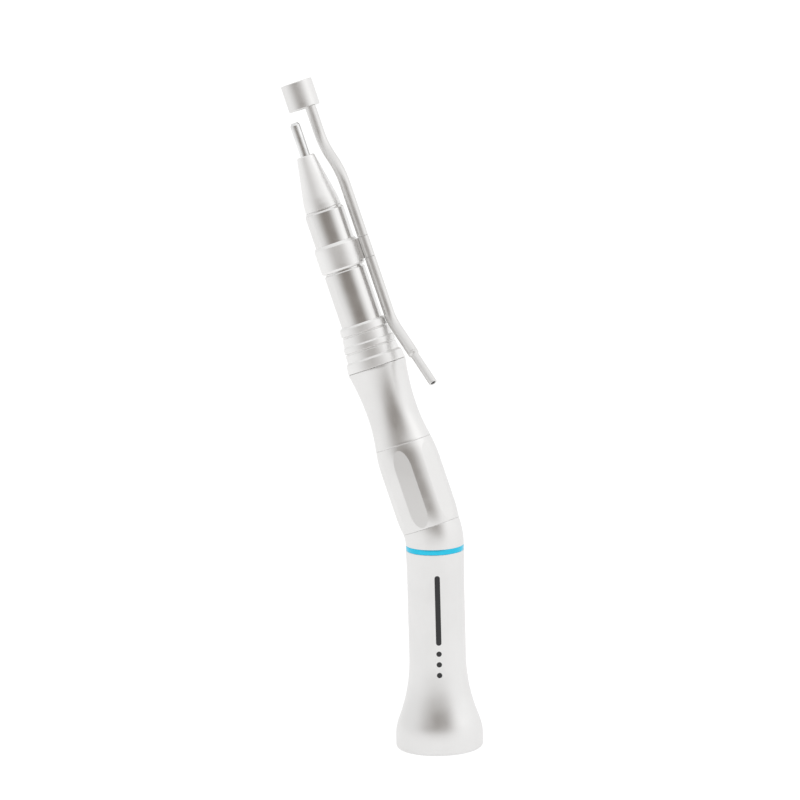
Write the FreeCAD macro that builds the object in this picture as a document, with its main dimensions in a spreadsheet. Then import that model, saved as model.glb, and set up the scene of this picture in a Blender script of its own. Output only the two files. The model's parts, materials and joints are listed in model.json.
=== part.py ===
import FreeCAD, Part
import Sketcher
import math
import os

# Angled surgical straight handpiece for dentistry, with an outside water line.
#
# Two straight axes meet at the bend: the lower one is +Z from the middle of the rear face,
# the upper one leans back by bend_angle towards -X. A height in an upper piece is its
# distance from the bend point along the upper axis.

DIMENSIONS = {
    # overall
    "bend_height": 49.8,
    "bend_angle": 20.0,
    "elbow_radius": 6.7,
    "bend_curve": 11.06,
    # rear sleeve and coupling
    "rim_radius": 10.05,
    "rim_round": 1.3,
    "rim_height": 2.9,
    "rim_bevel": 0.7,
    "rim_curve": 1.6,
    "flare_turn_radius": 9.33,
    "flare_turn_height": 6.9,
    "flare_end_height": 21.4,
    "handle_radius": 6.55,
    "handle_top_radius": 6.7,
    "handle_swell_height": 38.0,
    "mouth_radius": 8.0,
    "mouth_depth": 7.5,
    "core_radius": 5.85,
    "liner_radius": 4.75,
    "liner_foot": 8.5,
    "liner_top": 30.0,
    "ring_height": 46.65,
    "ring_width": 1.2,
    "seal_width": 0.9,
    # rear shaft
    "shaft_radius": 2.0,
    "shaft_tail_radius": 1.5,
    "shaft_foot": 31.2,
    "dog_foot": 30.5,
    "dog_top": 34.2,
    "dog_radius": 3.3,
    "dog_pin_radius": 0.35,
    "dog_pin_height": 33.0,
    "dog_travel": 1.0,
    "tongue_width": 1.6,
    "tongue_depth": 0.9,
    "tongue_overrun": 0.5,
    "dog_spring_radius": 2.2,
    "dog_spring_wire": 0.13,
    "dog_spring_turns": 3.0,
    "rear_nut_foot": 36.4,
    "rear_bearing_foot": 37.0,
    "rear_bearing_gap": 2.0,
    "rear_bearing_width": 3.0,
    "rear_bearing_radius": 4.5,
    "rear_ball_radius": 0.6,
    # bevel gears, measured from the bend point
    "gear_radius": 4.5,
    "gear_inner_radius": 2.9,
    "gear_addendum": 0.35,
    "gear_root_depth": 1.35,
    "gear_gap_root": 1.3,
    "gear_gap_crest": 1.85,
    "gear_teeth": 12,
    "gear_hub_front": 1.4,
    "gear_rim_back": 2.6,
    "gear_back": 3.3,
    # upper shells, heights from the bend point
    "elbow_top": 2.45,
    "elbow_neck_radius": 5.7,
    "elbow_neck_top": 6.0,
    "elbow_bore": 5.1,
    "grip_edge_radius": 6.68,
    "grip_radius": 7.02,
    "grip_swell": 6.6,
    "grip_fall": 17.0,
    "grip_top": 22.4,
    "grip_top_radius": 6.56,
    "flat_distance": 6.73,
    "flat_count": 6,
    "flat_turn": -13.9,
    "waist_radius": 5.8,
    "waist_height": 30.2,
    "waist_top": 41.1,
    "waist_top_radius": 6.88,
    "frame_bore": 5.0,
    "carrier_bore": 4.0,
    "carrier_top": 34.0,
    # front housing
    "housing_foot": 34.0,
    "housing_radius": 4.85,
    "housing_bore": 4.25,
    "housing_step": 64.2,
    "nose_tube_radius": 4.62,
    "housing_narrow": 60.0,
    "housing_narrow_bore": 3.5,
    "front_bearing_foot": 73.0,
    "front_bearing_seat": 4.0,
    "housing_top": 79.1,
    # bearings on the spindle
    "spindle_radius": 2.4,
    "spindle_bearing_radius": 4.0,
    "spindle_bearing_width": 3.0,
    "spindle_ball_radius": 0.5,
    "mid_bearing_foot": 8.0,
    "ball_clearance": 0.03,
    "race_gap": 0.35,
    "ball_count": 7,
    # nose cone
    "nose_foot": 76.6,
    "nose_shoulder": 79.2,
    "nose_radius": 4.22,
    "nose_taper_height": 81.5,
    "nose_tip_height": 92.0,
    "nose_tip_radius": 2.08,
    "nose_bore": 1.35,
    "nose_cavity": 2.7,
    "nose_cavity_top": 84.6,
    # spindle, collet and bur
    "spindle_top": 83.5,
    "spindle_bore": 1.85,
    "spindle_bore_foot": 46.0,
    "collet_radius": 1.8,
    "collet_bore": 1.2,
    "collet_foot": 47.0,
    "collet_stop": 54.8,
    "collet_top": 83.6,
    "collet_head_radius": 2.1,
    "collet_head_length": 1.1,
    "collet_travel": 0.6,
    "jaw_slit": 0.3,
    "jaw_slit_foot": 74.0,
    "jaw_count": 3,
    "collar_foot": 50.8,
    "collar_width": 1.5,
    "collar_radius": 4.0,
    "collar_pin_radius": 0.4,
    "spring_seat_foot": 57.3,
    "collet_spring_radius": 3.0,
    "collet_spring_wire": 0.25,
    "collet_spring_turns": 5.0,
    "bur_radius": 1.175,
    "bur_tail": 55.5,
    "bur_tip": 100.0,
    # chuck ring and cam
    "chuck_foot": 41.15,
    "chuck_bore": 4.9,
    "cam_sleeve_foot": 42.4,
    "cam_sleeve_top": 50.57,
    "cam_sleeve_bore": 3.45,
    "cam_sleeve_radius": 4.2,
    "cam_pin_radius": 0.5,
    "cam_pin_height": 45.0,
    "cam_pin_end": 5.3,
    "cam_turn": 40.0,
    "cam_rise": 0.8,
    "cam_play": 0.13,
    "key_height": 48.4,
    "key_radius": 0.4,
    "key_play": 0.06,
    # water line
    "clip_foot": 64.6,
    "clip_top": 71.0,
    "clip_radius": 5.2,
    "clip_bore": 4.7,
    "clip_bevel": 0.5,
    "hook_foot": 65.4,
    "hook_top": 70.4,
    "hook_bore": 0.98,
    "hook_web_width": 1.6,
    "neck_radius": 0.95,
    "neck_play": 0.05,
    "tube_offset": 6.9,
    "tube_azimuth": 13.4,
    "tube_turn": -44.2,
    "tube_radius": 1.25,
    "tube_bore": 0.55,
    "tube_bend": 30.0,
    "tube_bend_radius": 12.0,
    "tube_front_shift": 4.0,
    "tube_front_corner": 86.2,
    "tube_rear_corner": 50.0,
    "tube_rear_radius": 9.0,
    "tube_rear_end": 41.5,
    "barb_radius": 0.95,
    "barb_bore": 0.55,
    "barb_length": 9.2,
    "spray_foot": 102.5,
    "spray_top": 108.8,
    "spray_radius": 3.7,
    "spray_bore": 2.15,
    "spray_insert_radius": 2.5,
    "spray_channel_radius": 3.1,
    "spray_hole_radius": 0.2,
    "spray_holes": 6,
    "water_entry_radius": 0.3,
}

# Outline of the ribbed chuck ring: radius, and height above the ring's foot.
RIB_PROFILE = [
    (6.73, 0.0), (6.88, 0.15), (6.62, 2.15), (6.16, 2.6), (6.10, 4.3),
    (5.82, 4.4), (5.82, 4.65), (6.12, 4.8), (6.04, 5.9), (5.74, 6.25),
    (5.62, 8.15), (5.34, 8.25), (5.34, 8.5), (5.66, 8.65), (5.54, 10.1), (5.22, 10.6),
]
for number, (radius, rise) in enumerate(RIB_PROFILE, start=1):
    DIMENSIONS[f"rib_radius_{number}"] = radius
    DIMENSIONS[f"rib_rise_{number}"] = rise

doc = FreeCAD.newDocument("angled_handpiece")
sheet = doc.addObject("Spreadsheet::Sheet", "dims")
for row, (alias, number) in enumerate(DIMENSIONS.items(), start=1):
    sheet.set(f"A{row}", alias)
    sheet.set(f"B{row}", str(number))
    sheet.setAlias(f"B{row}", alias)
doc.recompute()


class Size:
    """A number together with the sheet expression that gives it."""

    def __init__(self, value, text):
        self.value = value
        self.text = text

    def join(self, other, sign, value):
        return Size(value, f"({self.text} {sign} {other.text})")

    def __add__(self, other):
        other = as_size(other)
        return self.join(other, "+", self.value + other.value)

    def __sub__(self, other):
        other = as_size(other)
        return self.join(other, "-", self.value - other.value)

    def __mul__(self, other):
        other = as_size(other)
        return self.join(other, "*", self.value * other.value)

    def __truediv__(self, other):
        other = as_size(other)
        return self.join(other, "/", self.value / other.value)

    def __neg__(self):
        return as_size(0.0) - self

    def bound(self):
        return "dims." in self.text


def as_size(item):
    """Take a plain number as a Size."""
    if isinstance(item, Size):
        return item
    return Size(float(item), repr(float(item)))


def dim(alias):
    """The Size of one cell of the sheet."""
    return Size(float(sheet.get(alias)), f"dims.{alias}")


def sine(angle):
    return Size(math.sin(math.radians(angle.value)), f"sin({angle.text})")


def cosine(angle):
    return Size(math.cos(math.radians(angle.value)), f"cos({angle.text})")


def tangent(angle):
    return Size(math.tan(math.radians(angle.value)), f"tan({angle.text})")


def square_root(size):
    return Size(math.sqrt(size.value), f"sqrt({size.text})")


def bow(across, along):
    """Radius of the arc that leaves a line as its tangent and is `across` off it after `along`."""
    return (across * across + along * along) / (across * 2.0)


def bind(feature, path, size):
    """Give a property a plain number, or the expression that keeps it at the sheet's value."""
    if isinstance(size, Size):
        feature.setExpression(path, size.text)
    else:
        setattr(feature, path, size)


# ---------------------------------------------------------------- sketches and bodies

def origin_part(body, role):
    """One of a body's own origin planes or axes."""
    return next(item for item in body.Origin.OriginFeatures if item.Role == role)


def new_body(label, place=None):
    body = doc.addObject("PartDesign::Body", label)
    body.Label = label
    if place is not None:
        body.Placement = place
    return body


def new_sketch(body, name, plane, offset=0.0):
    """An empty sketch on a plane of the body's own origin, moved along that plane's normal."""
    sketch = body.newObject("Sketcher::SketchObject", name)
    sketch.AttachmentSupport = [(origin_part(body, plane), "")]
    sketch.MapMode = "FlatFace"
    away = FreeCAD.Vector(0, 0, as_size(offset).value)
    sketch.AttachmentOffset = FreeCAD.Placement(away, FreeCAD.Rotation())
    if as_size(offset).bound():
        sketch.setExpression("AttachmentOffset.Base.z", offset.text)
    return sketch


def edge_between(start, end, radius):
    """A straight edge, or an arc that bulges to the left of its travel when radius is above 0."""
    p = FreeCAD.Vector(start[0].value, start[1].value, 0)
    q = FreeCAD.Vector(end[0].value, end[1].value, 0)
    if radius is None:
        return Part.LineSegment(p, q), (1, 2)
    chord = q - p
    side = math.copysign(1.0, radius.value)
    normal = FreeCAD.Vector(-chord.y, chord.x, 0).normalize()
    reach = math.sqrt(radius.value ** 2 - (chord.Length / 2) ** 2)
    middle = (p + q) * 0.5 - normal * (side * reach)
    first, last = (q, p) if side > 0 else (p, q)
    angles = [math.atan2(point.y - middle.y, point.x - middle.x) for point in (first, last)]
    circle = Part.Circle(middle, FreeCAD.Vector(0, 0, 1), abs(radius.value))
    return Part.ArcOfCircle(circle, angles[0], angles[1]), ((2, 1) if side > 0 else (1, 2))


def draw(sketch, points, closed=True):
    """Draw edges through points (across, along) or (across, along, radius of the arc to it)."""
    corners = [(as_size(point[0]), as_size(point[1])) for point in points]
    radii = [as_size(point[2]) if len(point) > 2 else None for point in points]
    count = len(points) if closed else len(points) - 1
    base = sketch.GeometryCount
    ends = []
    for index in range(count):
        following = (index + 1) % len(points)
        edge, positions = edge_between(corners[index], corners[following], radii[following])
        sketch.addGeometry(edge, False)
        ends.append((base + index, positions[0], positions[1]))
    fixed = [(ends[index][0], ends[index][1]) for index in range(count)]
    if not closed:
        fixed.append((ends[-1][0], ends[-1][2]))
    for index in range(count if closed else count - 1):
        one, other = ends[index], ends[(index + 1) % count]
        sketch.addConstraint(Sketcher.Constraint("Coincident", one[0], one[2], other[0], other[1]))
    for (geometry, position), (across, along) in zip(fixed, corners):
        fix_coordinate(sketch, "DistanceX", -2, geometry, position, across)
        fix_coordinate(sketch, "DistanceY", -1, geometry, position, along)
    for index in range(count):
        radius = radii[(index + 1) % len(points)]
        if radius is not None:
            size = radius if radius.value > 0 else -radius
            add_bound(sketch, Sketcher.Constraint("Radius", base + index, size.value), size)


def fix_coordinate(sketch, kind, axis, geometry, position, size):
    """Hold one coordinate of a point, on the axis itself when it is zero."""
    if abs(size.value) < 1e-9:
        sketch.addConstraint(Sketcher.Constraint("PointOnObject", geometry, position, axis))
    else:
        add_bound(sketch, Sketcher.Constraint(kind, -1, 1, geometry, position, size.value), size)


def add_bound(sketch, constraint, size):
    index = sketch.addConstraint(constraint)
    if size.bound():
        name = f"size_{index}"
        sketch.renameConstraint(index, name)
        sketch.setExpression(f"Constraints.{name}", size.text)


def draw_circle(sketch, radius, across=0.0, along=0.0):
    """A circle with its radius and centre held by the sheet."""
    radius, across, along = as_size(radius), as_size(across), as_size(along)
    middle = FreeCAD.Vector(across.value, along.value, 0)
    circle = Part.Circle(middle, FreeCAD.Vector(0, 0, 1), radius.value)
    geometry = sketch.addGeometry(circle, False)
    fix_coordinate(sketch, "DistanceX", -2, geometry, 3, across)
    fix_coordinate(sketch, "DistanceY", -1, geometry, 3, along)
    add_bound(sketch, Sketcher.Constraint("Radius", geometry, radius.value), radius)


def turned(label, profile, place=None):
    """A piece turned about its own axis from a closed outline of (radius, height)."""
    body = new_body(label, place)
    sketch = new_sketch(body, f"{label}_outline", "XZ_Plane")
    draw(sketch, profile)
    turn = body.newObject("PartDesign::Revolution", f"{label}_turn")
    turn.Profile = sketch
    turn.ReferenceAxis = (sketch, ["V_Axis"])
    turn.Angle = 360.0
    return body


def tube(label, inner, outer, foot, top, place=None):
    """A plain turned ring or tube."""
    return turned(label, [(inner, foot), (outer, foot), (outer, top), (inner, top)], place)


def pocket(body, name, points, plane="YZ_Plane", offset=0.0, both=False):
    """Cut an outline along its plane's normal, right through, to one side or to both."""
    sketch = new_sketch(body, f"{name}_outline", plane, offset)
    draw(sketch, points)
    cut = body.newObject("PartDesign::Pocket", name)
    cut.Profile = sketch
    cut.Type = "ThroughAll"
    if both:
        cut.Midplane = True
    else:
        cut.Reversed = True
    return cut


def rectangle(half_width, foot, top, shift=0.0):
    """A rectangle that stands about the upright axis of its sketch."""
    half_width, shift = as_size(half_width), as_size(shift)
    return [(shift - half_width, foot), (shift + half_width, foot),
            (shift + half_width, top), (shift - half_width, top)]


def polar(body, feature, count, angle=360.0):
    """Repeat a feature about the body's own Z axis."""
    pattern = body.newObject("PartDesign::PolarPattern", f"{feature.Name}_pattern")
    pattern.Originals = [feature]
    pattern.Axis = (origin_part(body, "Z_Axis"), [""])
    pattern.Angle = angle
    bind(pattern, "Occurrences", count)
    body.Tip = pattern
    return pattern


def add_feature(body, kind, name, place, **sizes):
    """An additive or subtractive primitive inside a body."""
    feature = body.newObject(f"PartDesign::{kind}", name)
    for path, size in sizes.items():
        bind(feature, path, size)
    feature.Placement = place
    return feature


def shift(x=0.0, y=0.0, z=0.0, axis=(0, 0, 1), angle=0.0):
    """A placement from plain numbers or Sizes."""
    base = FreeCAD.Vector(as_size(x).value, as_size(y).value, as_size(z).value)
    return FreeCAD.Placement(base, FreeCAD.Rotation(FreeCAD.Vector(*axis), as_size(angle).value))


def upper(turn=0.0):
    """Placement of a piece on the upper axis, turned about it."""
    lean = shift(z=dim("bend_height"), axis=(0, 1, 0), angle=-dim("bend_angle"))
    return lean.multiply(shift(angle=turn))


UPPER = upper()


# ---------------------------------------------------------------- lower shells

def make_rear_sleeve():
    """Flared outer sleeve, with the mouth for the motor in its rear face."""
    first_bow = bow(dim("rim_radius") - dim("flare_turn_radius"),
                    dim("flare_turn_height") - dim("rim_height"))
    last_bow = bow(dim("flare_turn_radius") - dim("handle_radius"),
                   dim("flare_end_height") - dim("flare_turn_height"))
    turned("rear_sleeve", [
        (dim("mouth_radius"), 0.0),
        (dim("rim_radius") - dim("rim_bevel"), 0.0),
        (dim("rim_radius"), dim("rim_round"), -dim("rim_curve")),
        (dim("rim_radius"), dim("rim_height")),
        (dim("flare_turn_radius"), dim("flare_turn_height"), -first_bow),
        (dim("handle_radius"), dim("flare_end_height"), last_bow),
        (dim("handle_radius"), dim("handle_swell_height")),
        (dim("handle_top_radius"), dim("ring_height")),
        (dim("core_radius"), dim("ring_height")),
        (dim("core_radius"), dim("liner_foot")),
        (dim("mouth_radius") - 1.0, dim("liner_foot")),
        (dim("mouth_radius"), dim("mouth_depth")),
    ])


def make_coupling_liner():
    """Liner that centres the motor's nose, with a groove for its sealing ring."""
    groove_top = dim("liner_top") - 3.0
    groove_foot = groove_top - dim("seal_width")
    groove_radius = dim("core_radius") - 0.5
    turned("coupling_liner", [
        (dim("liner_radius"), dim("liner_foot")),
        (dim("core_radius"), dim("liner_foot")),
        (dim("core_radius"), groove_foot),
        (groove_radius, groove_foot),
        (groove_radius, groove_top),
        (dim("core_radius"), groove_top),
        (dim("core_radius"), dim("liner_top")),
        (dim("liner_radius"), dim("liner_top")),
    ])
    tube("liner_seal", groove_radius, dim("core_radius"), groove_foot, groove_top)


def make_rear_carrier():
    """Tube that holds the rear bearings, the nut behind them and the spacer between them."""
    seat = dim("rear_bearing_radius")
    foot = dim("rear_bearing_foot")
    top = foot + dim("rear_bearing_width") * 2.0 + dim("rear_bearing_gap")
    turned("rear_carrier", [
        (seat, dim("liner_top")),
        (dim("core_radius"), dim("liner_top")),
        (dim("core_radius"), top + 0.5),
        (seat - 0.5, top + 0.5),
        (seat - 0.5, top),
        (seat, top),
    ])
    tube("rear_bearing_nut", seat - 0.8, seat, foot - 1.2, foot)
    spacer_foot = foot + dim("rear_bearing_width")
    tube("rear_race_spacer", seat - 0.6, seat, spacer_foot, spacer_foot + dim("rear_bearing_gap"))
    return spacer_foot


def make_colour_ring():
    """Ring that marks the 1:1 drive, in the joint below the elbow."""
    foot, top = dim("ring_height"), dim("ring_height") + dim("ring_width")
    face = dim("elbow_radius")
    turned("colour_ring", [
        (dim("core_radius"), foot), (face - 0.08, foot), (face, foot + 0.08),
        (face, top - 0.08), (face - 0.08, top), (dim("core_radius"), top),
    ])


def primitive(kind, name, place, **sizes):
    """A Part primitive with its sizes bound to the sheet."""
    feature = doc.addObject(f"Part::{kind}", name)
    for path, size in sizes.items():
        bind(feature, path, size)
    feature.Placement = place
    return feature


def bent_core(name, radius, neck_radius, lower_foot, upper_top):
    """The elbow's solid form: a bent length between two straight necks."""
    tangent_length = dim("bend_curve") * tangent(dim("bend_angle") / 2.0)
    curve_foot = dim("bend_height") - tangent_length
    bend = primitive("Torus", f"{name}_bend", shift(-dim("bend_curve"), 0, curve_foot, (1, 0, 0), 90.0),
                     Radius1=dim("bend_curve"), Radius2=radius, Angle1=-180.0, Angle2=180.0,
                     Angle3=dim("bend_angle"))
    collar = primitive("Cylinder", f"{name}_collar", UPPER.multiply(shift(z=tangent_length)),
                       Radius=radius, Height=dim("elbow_top") - tangent_length)
    foot = primitive("Cylinder", f"{name}_foot", shift(z=lower_foot),
                     Radius=neck_radius[0], Height=curve_foot - lower_foot)
    top = primitive("Cylinder", f"{name}_top", UPPER.multiply(shift(z=tangent_length)),
                    Radius=neck_radius[1], Height=as_size(upper_top) - tangent_length)
    core = doc.addObject("Part::MultiFuse", name)
    core.Shapes = [bend, collar, foot, top]
    return core


def make_elbow():
    """Elbow housing, with a neck into the rear sleeve and one into the grip."""
    bore = dim("elbow_bore")
    neck_foot = dim("ring_height") - 1.15
    skin = bent_core("elbow_skin", dim("elbow_radius"), (dim("core_radius"), dim("elbow_neck_radius")),
                     neck_foot, dim("elbow_neck_top"))
    hollow = bent_core("elbow_hollow", bore, (bore, bore), neck_foot - 0.5, dim("elbow_neck_top") + 0.5)
    housing = doc.addObject("Part::Cut", "elbow_housing")
    housing.Base = skin
    housing.Tool = hollow
    housing.Label = "elbow_housing"
    return housing


# ---------------------------------------------------------------- bearings and gears

def make_bearing(prefix, foot, bore, outer, width, ball, place=None):
    """A ball bearing as an outer race, an inner race, and its balls on their cage."""
    middle = (as_size(bore) + outer) / 2.0
    gap = dim("race_gap")
    groove = as_size(ball) + dim("ball_clearance")
    half = square_root(groove * groove - gap * gap)
    centre = as_size(foot) + as_size(width) / 2.0
    top = as_size(foot) + width
    turned(f"{prefix}_inner_race", [
        (bore, foot), (middle - gap, foot), (middle - gap, centre - half),
        (middle - gap, centre + half, groove), (middle - gap, top), (bore, top),
    ], place)
    turned(f"{prefix}_outer_race", [
        (middle + gap, foot), (outer, foot), (outer, top), (middle + gap, top),
        (middle + gap, centre + half), (middle + gap, centre - half, groove),
    ], place)
    rail = dim("ball_clearance") * 8.0
    cage = tube(f"{prefix}_balls", middle - rail, middle + rail, centre - rail, centre + rail, place)
    sphere = add_feature(cage, "AdditiveSphere", f"{prefix}_ball", shift(middle, 0, centre), Radius=ball)
    polar(cage, sphere, dim("ball_count"))


def make_gear(label, place, clock):
    """A 1:1 bevel gear whose teeth face the bend point, which is its own origin."""
    outer, inner = dim("gear_radius"), dim("gear_inner_radius")
    lift = tangent(dim("bend_angle") / 2.0)
    crest = outer * lift - dim("gear_addendum")
    inner_crest = crest * inner / outer
    gear = turned(label, [
        (dim("shaft_radius"), dim("gear_hub_front")),
        (inner, dim("gear_hub_front")),
        (inner, inner_crest),
        (outer, crest),
        (outer, dim("gear_rim_back")),
        (inner + 0.3, dim("gear_back")),
        (dim("shaft_radius"), dim("gear_back")),
    ], place.multiply(shift(angle=clock)))
    root = dim("gear_root_depth")
    half_root, half_crest = dim("gear_gap_root") / 2.0, dim("gear_gap_crest") / 2.0
    gap = pocket(gear, f"{label}_gap", [
        (-half_crest, -0.4), (half_crest, -0.4), (half_root, root), (-half_root, root),
    ], offset=inner - 0.4)
    polar(gear, gap, dim("gear_teeth"))


def make_gears():
    half_tooth = 180.0 / dim("gear_teeth").value
    make_gear("rear_gear", shift(z=dim("bend_height"), axis=(1, 0, 0), angle=180.0), 0.0)
    make_gear("front_gear", UPPER, half_tooth)


# ---------------------------------------------------------------- rear shaft

def make_rear_shaft():
    """Shaft from the motor's driver to the rear gear, with the nut behind its bearings."""
    radius, tail = dim("shaft_radius"), dim("shaft_tail_radius")
    bearings_top = dim("rear_bearing_foot") + dim("rear_bearing_width") * 2.0 + dim("rear_bearing_gap")
    gear_back = dim("bend_height") - dim("gear_back")
    front = dim("bend_height") - dim("gear_hub_front")
    shaft = turned("rear_shaft", [
        (0.0, dim("shaft_foot")), (tail, dim("shaft_foot")), (tail, dim("rear_nut_foot")),
        (radius, dim("rear_nut_foot")), (radius, bearings_top), (radius + 0.6, bearings_top),
        (radius + 0.6, gear_back), (radius, gear_back), (radius, front), (0.0, front),
    ])
    pin = dim("dog_pin_radius")
    half_pin = dim("dog_radius") - 0.2
    across = shift(-half_pin, 0, dim("dog_pin_height"), (0, 1, 0), 90.0)
    add_feature(shaft, "SubtractiveCylinder", "dog_pin_hole", across, Radius=pin, Height=half_pin * 2.0)
    tube("rear_shaft_nut", radius, radius + 0.6, dim("rear_nut_foot"), dim("rear_bearing_foot"))
    rod = primitive("Cylinder", "dog_pin", across, Radius=pin, Height=half_pin * 2.0)
    rod.Label = "dog_pin"


def make_drive_dog():
    """Sprung driver that meets the motor's tongue, sliding on its cross pin."""
    foot, top = dim("dog_foot"), dim("dog_top")
    dog = turned("drive_dog", [
        (dim("shaft_tail_radius") + 0.05, foot), (dim("dog_radius") - 0.3, foot),
        (dim("dog_radius"), foot + 0.3), (dim("dog_radius"), top), (dim("shaft_tail_radius") + 0.05, top),
    ])
    pin = dim("dog_pin_radius") + 0.06
    height = dim("dog_pin_height")
    pocket(dog, "dog_pin_slot", rectangle(pin, height - dim("dog_travel") - pin, height + pin), both=True)
    tongue = rectangle(dim("tongue_width") / 2.0, foot - dim("tongue_overrun"), foot + dim("tongue_depth"))
    pocket(dog, "dog_tongue_slot", tongue, plane="XZ_Plane", both=True)
    make_spring("dog_spring", top, dim("rear_nut_foot"))


def make_spring(label, foot, top, place=None):
    """A round-wire coil spring between two faces, with its own radius, wire and turns."""
    wire = dim(f"{label}_wire")
    body = new_body(label, place)
    sketch = new_sketch(body, f"{label}_wire", "XZ_Plane")
    margin = wire + 0.05
    draw_circle(sketch, wire, dim(f"{label}_radius"), foot + margin)
    coil = body.newObject("PartDesign::AdditiveHelix", f"{label}_coil")
    coil.Profile = sketch
    coil.ReferenceAxis = (sketch, ["V_Axis"])
    coil.Mode = "height-turns-angle"
    bind(coil, "Height", top - foot - margin * 2.0)
    bind(coil, "Turns", dim(f"{label}_turns"))
    coil.Angle = 0.0


# ---------------------------------------------------------------- upper shells

def make_grip():
    """Barrel-shaped grip sleeve with six flats, whose ends round off where the barrel tapers."""
    edge, full = dim("grip_edge_radius"), dim("grip_radius")
    foot, swell, fall, top = dim("elbow_top"), dim("grip_swell"), dim("grip_fall"), dim("grip_top")
    grip = turned("grip_sleeve", [
        (dim("elbow_neck_radius"), foot),
        (edge, foot),
        (full, swell, bow(full - edge, swell - foot)),
        (full, fall),
        (dim("grip_top_radius"), top, bow(full - dim("grip_top_radius"), top - fall)),
        (dim("frame_bore"), top),
        (dim("frame_bore"), dim("elbow_neck_top")),
        (dim("elbow_neck_radius"), dim("elbow_neck_top")),
    ], upper(dim("flat_turn")))
    flat = pocket(grip, "grip_flat", rectangle(full / 2.0, foot - 1.0, top + 1.0),
                  offset=dim("flat_distance"))
    polar(grip, flat, dim("flat_count"))


def make_waist():
    """Waisted sleeve between the grip and the chuck ring."""
    foot, narrow, top = dim("grip_top"), dim("waist_height"), dim("waist_top")
    foot_radius = dim("grip_top_radius") - 0.02
    radius = dim("waist_radius")
    turned("waist_sleeve", [
        (dim("frame_bore"), foot),
        (foot_radius, foot),
        (radius, narrow, bow(foot_radius - radius, narrow - foot)),
        (dim("waist_top_radius"), top, bow(dim("waist_top_radius") - radius, top - narrow)),
        (dim("frame_bore"), top),
    ], UPPER)


def make_carrier():
    """Inner tube that carries the spindle's rear bearing, and the nut that holds it."""
    seat = dim("carrier_bore")
    foot = dim("mid_bearing_foot")
    bearing_top = foot + dim("spindle_bearing_width")
    turned("spindle_carrier", [
        (seat, dim("elbow_neck_top") + 0.1),
        (dim("frame_bore"), dim("elbow_neck_top") + 0.1),
        (dim("frame_bore"), dim("carrier_top")),
        (seat, dim("carrier_top")),
        (seat, bearing_top + 1.0),
        (seat - 0.4, bearing_top + 1.0),
        (seat - 0.4, bearing_top),
        (seat, bearing_top),
    ], UPPER)
    tube("mid_bearing_nut", seat - 0.5, seat, foot - 1.2, foot, UPPER)


def make_front_housing():
    """Front tube: it carries the chuck ring, the clip and the front bearing."""
    groove_top = dim("housing_foot") + 5.0
    groove_foot = groove_top - dim("seal_width")
    seal_radius = dim("frame_bore") - 0.35
    step, top = dim("housing_step"), dim("housing_top")
    barrel, nose = dim("housing_radius"), dim("nose_tube_radius")
    bearing_foot = dim("front_bearing_foot")
    housing = turned("front_housing", [
        (dim("housing_bore"), dim("housing_foot")),
        (dim("frame_bore"), dim("housing_foot")),
        (dim("frame_bore"), groove_foot),
        (seal_radius, groove_foot),
        (seal_radius, groove_top),
        (dim("frame_bore"), groove_top),
        (dim("frame_bore"), dim("waist_top")),
        (barrel, dim("waist_top")),
        (barrel, step - 0.3),
        (barrel - 0.15, step),
        (nose - 0.15, step),
        (nose - 0.15, step + 0.35),
        (nose, step + 0.5),
        (nose, top - 0.65),
        (nose - 0.3, top - 0.25),
        (nose - 0.3, top),
        (dim("front_bearing_seat"), top),
        (dim("front_bearing_seat"), bearing_foot),
        (dim("housing_narrow_bore"), bearing_foot),
        (dim("housing_narrow_bore"), dim("housing_narrow")),
        (dim("housing_bore"), dim("housing_narrow") - 1.0),
    ], upper(dim("cam_turn") / 2.0))
    reach = barrel * sine(dim("cam_turn") / 2.0) + dim("cam_pin_radius") + dim("cam_play")
    half = dim("cam_pin_radius") + 0.08
    height = dim("cam_pin_height")
    pocket(housing, "cam_window", rectangle(reach, height - half, height + half), both=True)
    key = key_place()
    add_feature(housing, "SubtractiveCylinder", "key_hole", key, Radius=dim("key_radius"), Height=2.0)
    tube("waist_seal", seal_radius, dim("frame_bore"), groove_foot, groove_top, UPPER)
    rod = primitive("Cylinder", "sleeve_key", upper(dim("cam_turn") / 2.0).multiply(key),
                    Radius=dim("key_radius"),
                    Height=dim("housing_radius") - dim("cam_sleeve_bore") - 0.1)
    rod.Label = "sleeve_key"


def key_place():
    """Where the key's axis starts, inside the cam sleeve's wall, in the housing's own frame."""
    return shift(0, dim("cam_sleeve_bore") + 0.05, dim("key_height"), (1, 0, 0), -90.0)


def make_nose():
    """Nose cone, its seal and the washer that preloads the front bearing."""
    seat = dim("front_bearing_seat")
    taper, tip = dim("nose_taper_height"), dim("nose_tip_height")
    bore, cavity = dim("nose_bore"), dim("nose_cavity")
    cavity_top = dim("nose_cavity_top")
    turned("nose_cone", [
        (cavity + 0.4, dim("nose_foot")),
        (seat, dim("nose_foot")),
        (seat, dim("nose_shoulder")),
        (dim("nose_radius"), dim("nose_shoulder")),
        (dim("nose_radius"), taper - 1.2),
        (dim("nose_radius") - 0.28, taper + 0.6, -3.4),
        (dim("nose_tip_radius") + 0.08, tip - 0.5),
        (dim("nose_tip_radius") - 0.25, tip, -0.6),
        (bore, tip),
        (bore, cavity_top + 1.8),
        (cavity, cavity_top),
        (cavity, dim("nose_foot") + 1.5),
        (cavity + 0.4, dim("nose_foot") + 1.2),
    ], UPPER)
    turned("nose_seal", [
        (dim("nose_bore"), cavity_top + 0.1),
        (cavity - 0.3, cavity_top + 0.1),
        (cavity - 0.9, cavity_top + 0.8),
        (dim("nose_bore"), cavity_top + 0.8),
    ], UPPER)
    washer_foot = dim("front_bearing_foot") + dim("spindle_bearing_width")
    tube("preload_washer", seat - 0.5, seat, washer_foot, dim("nose_foot"), UPPER)


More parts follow.
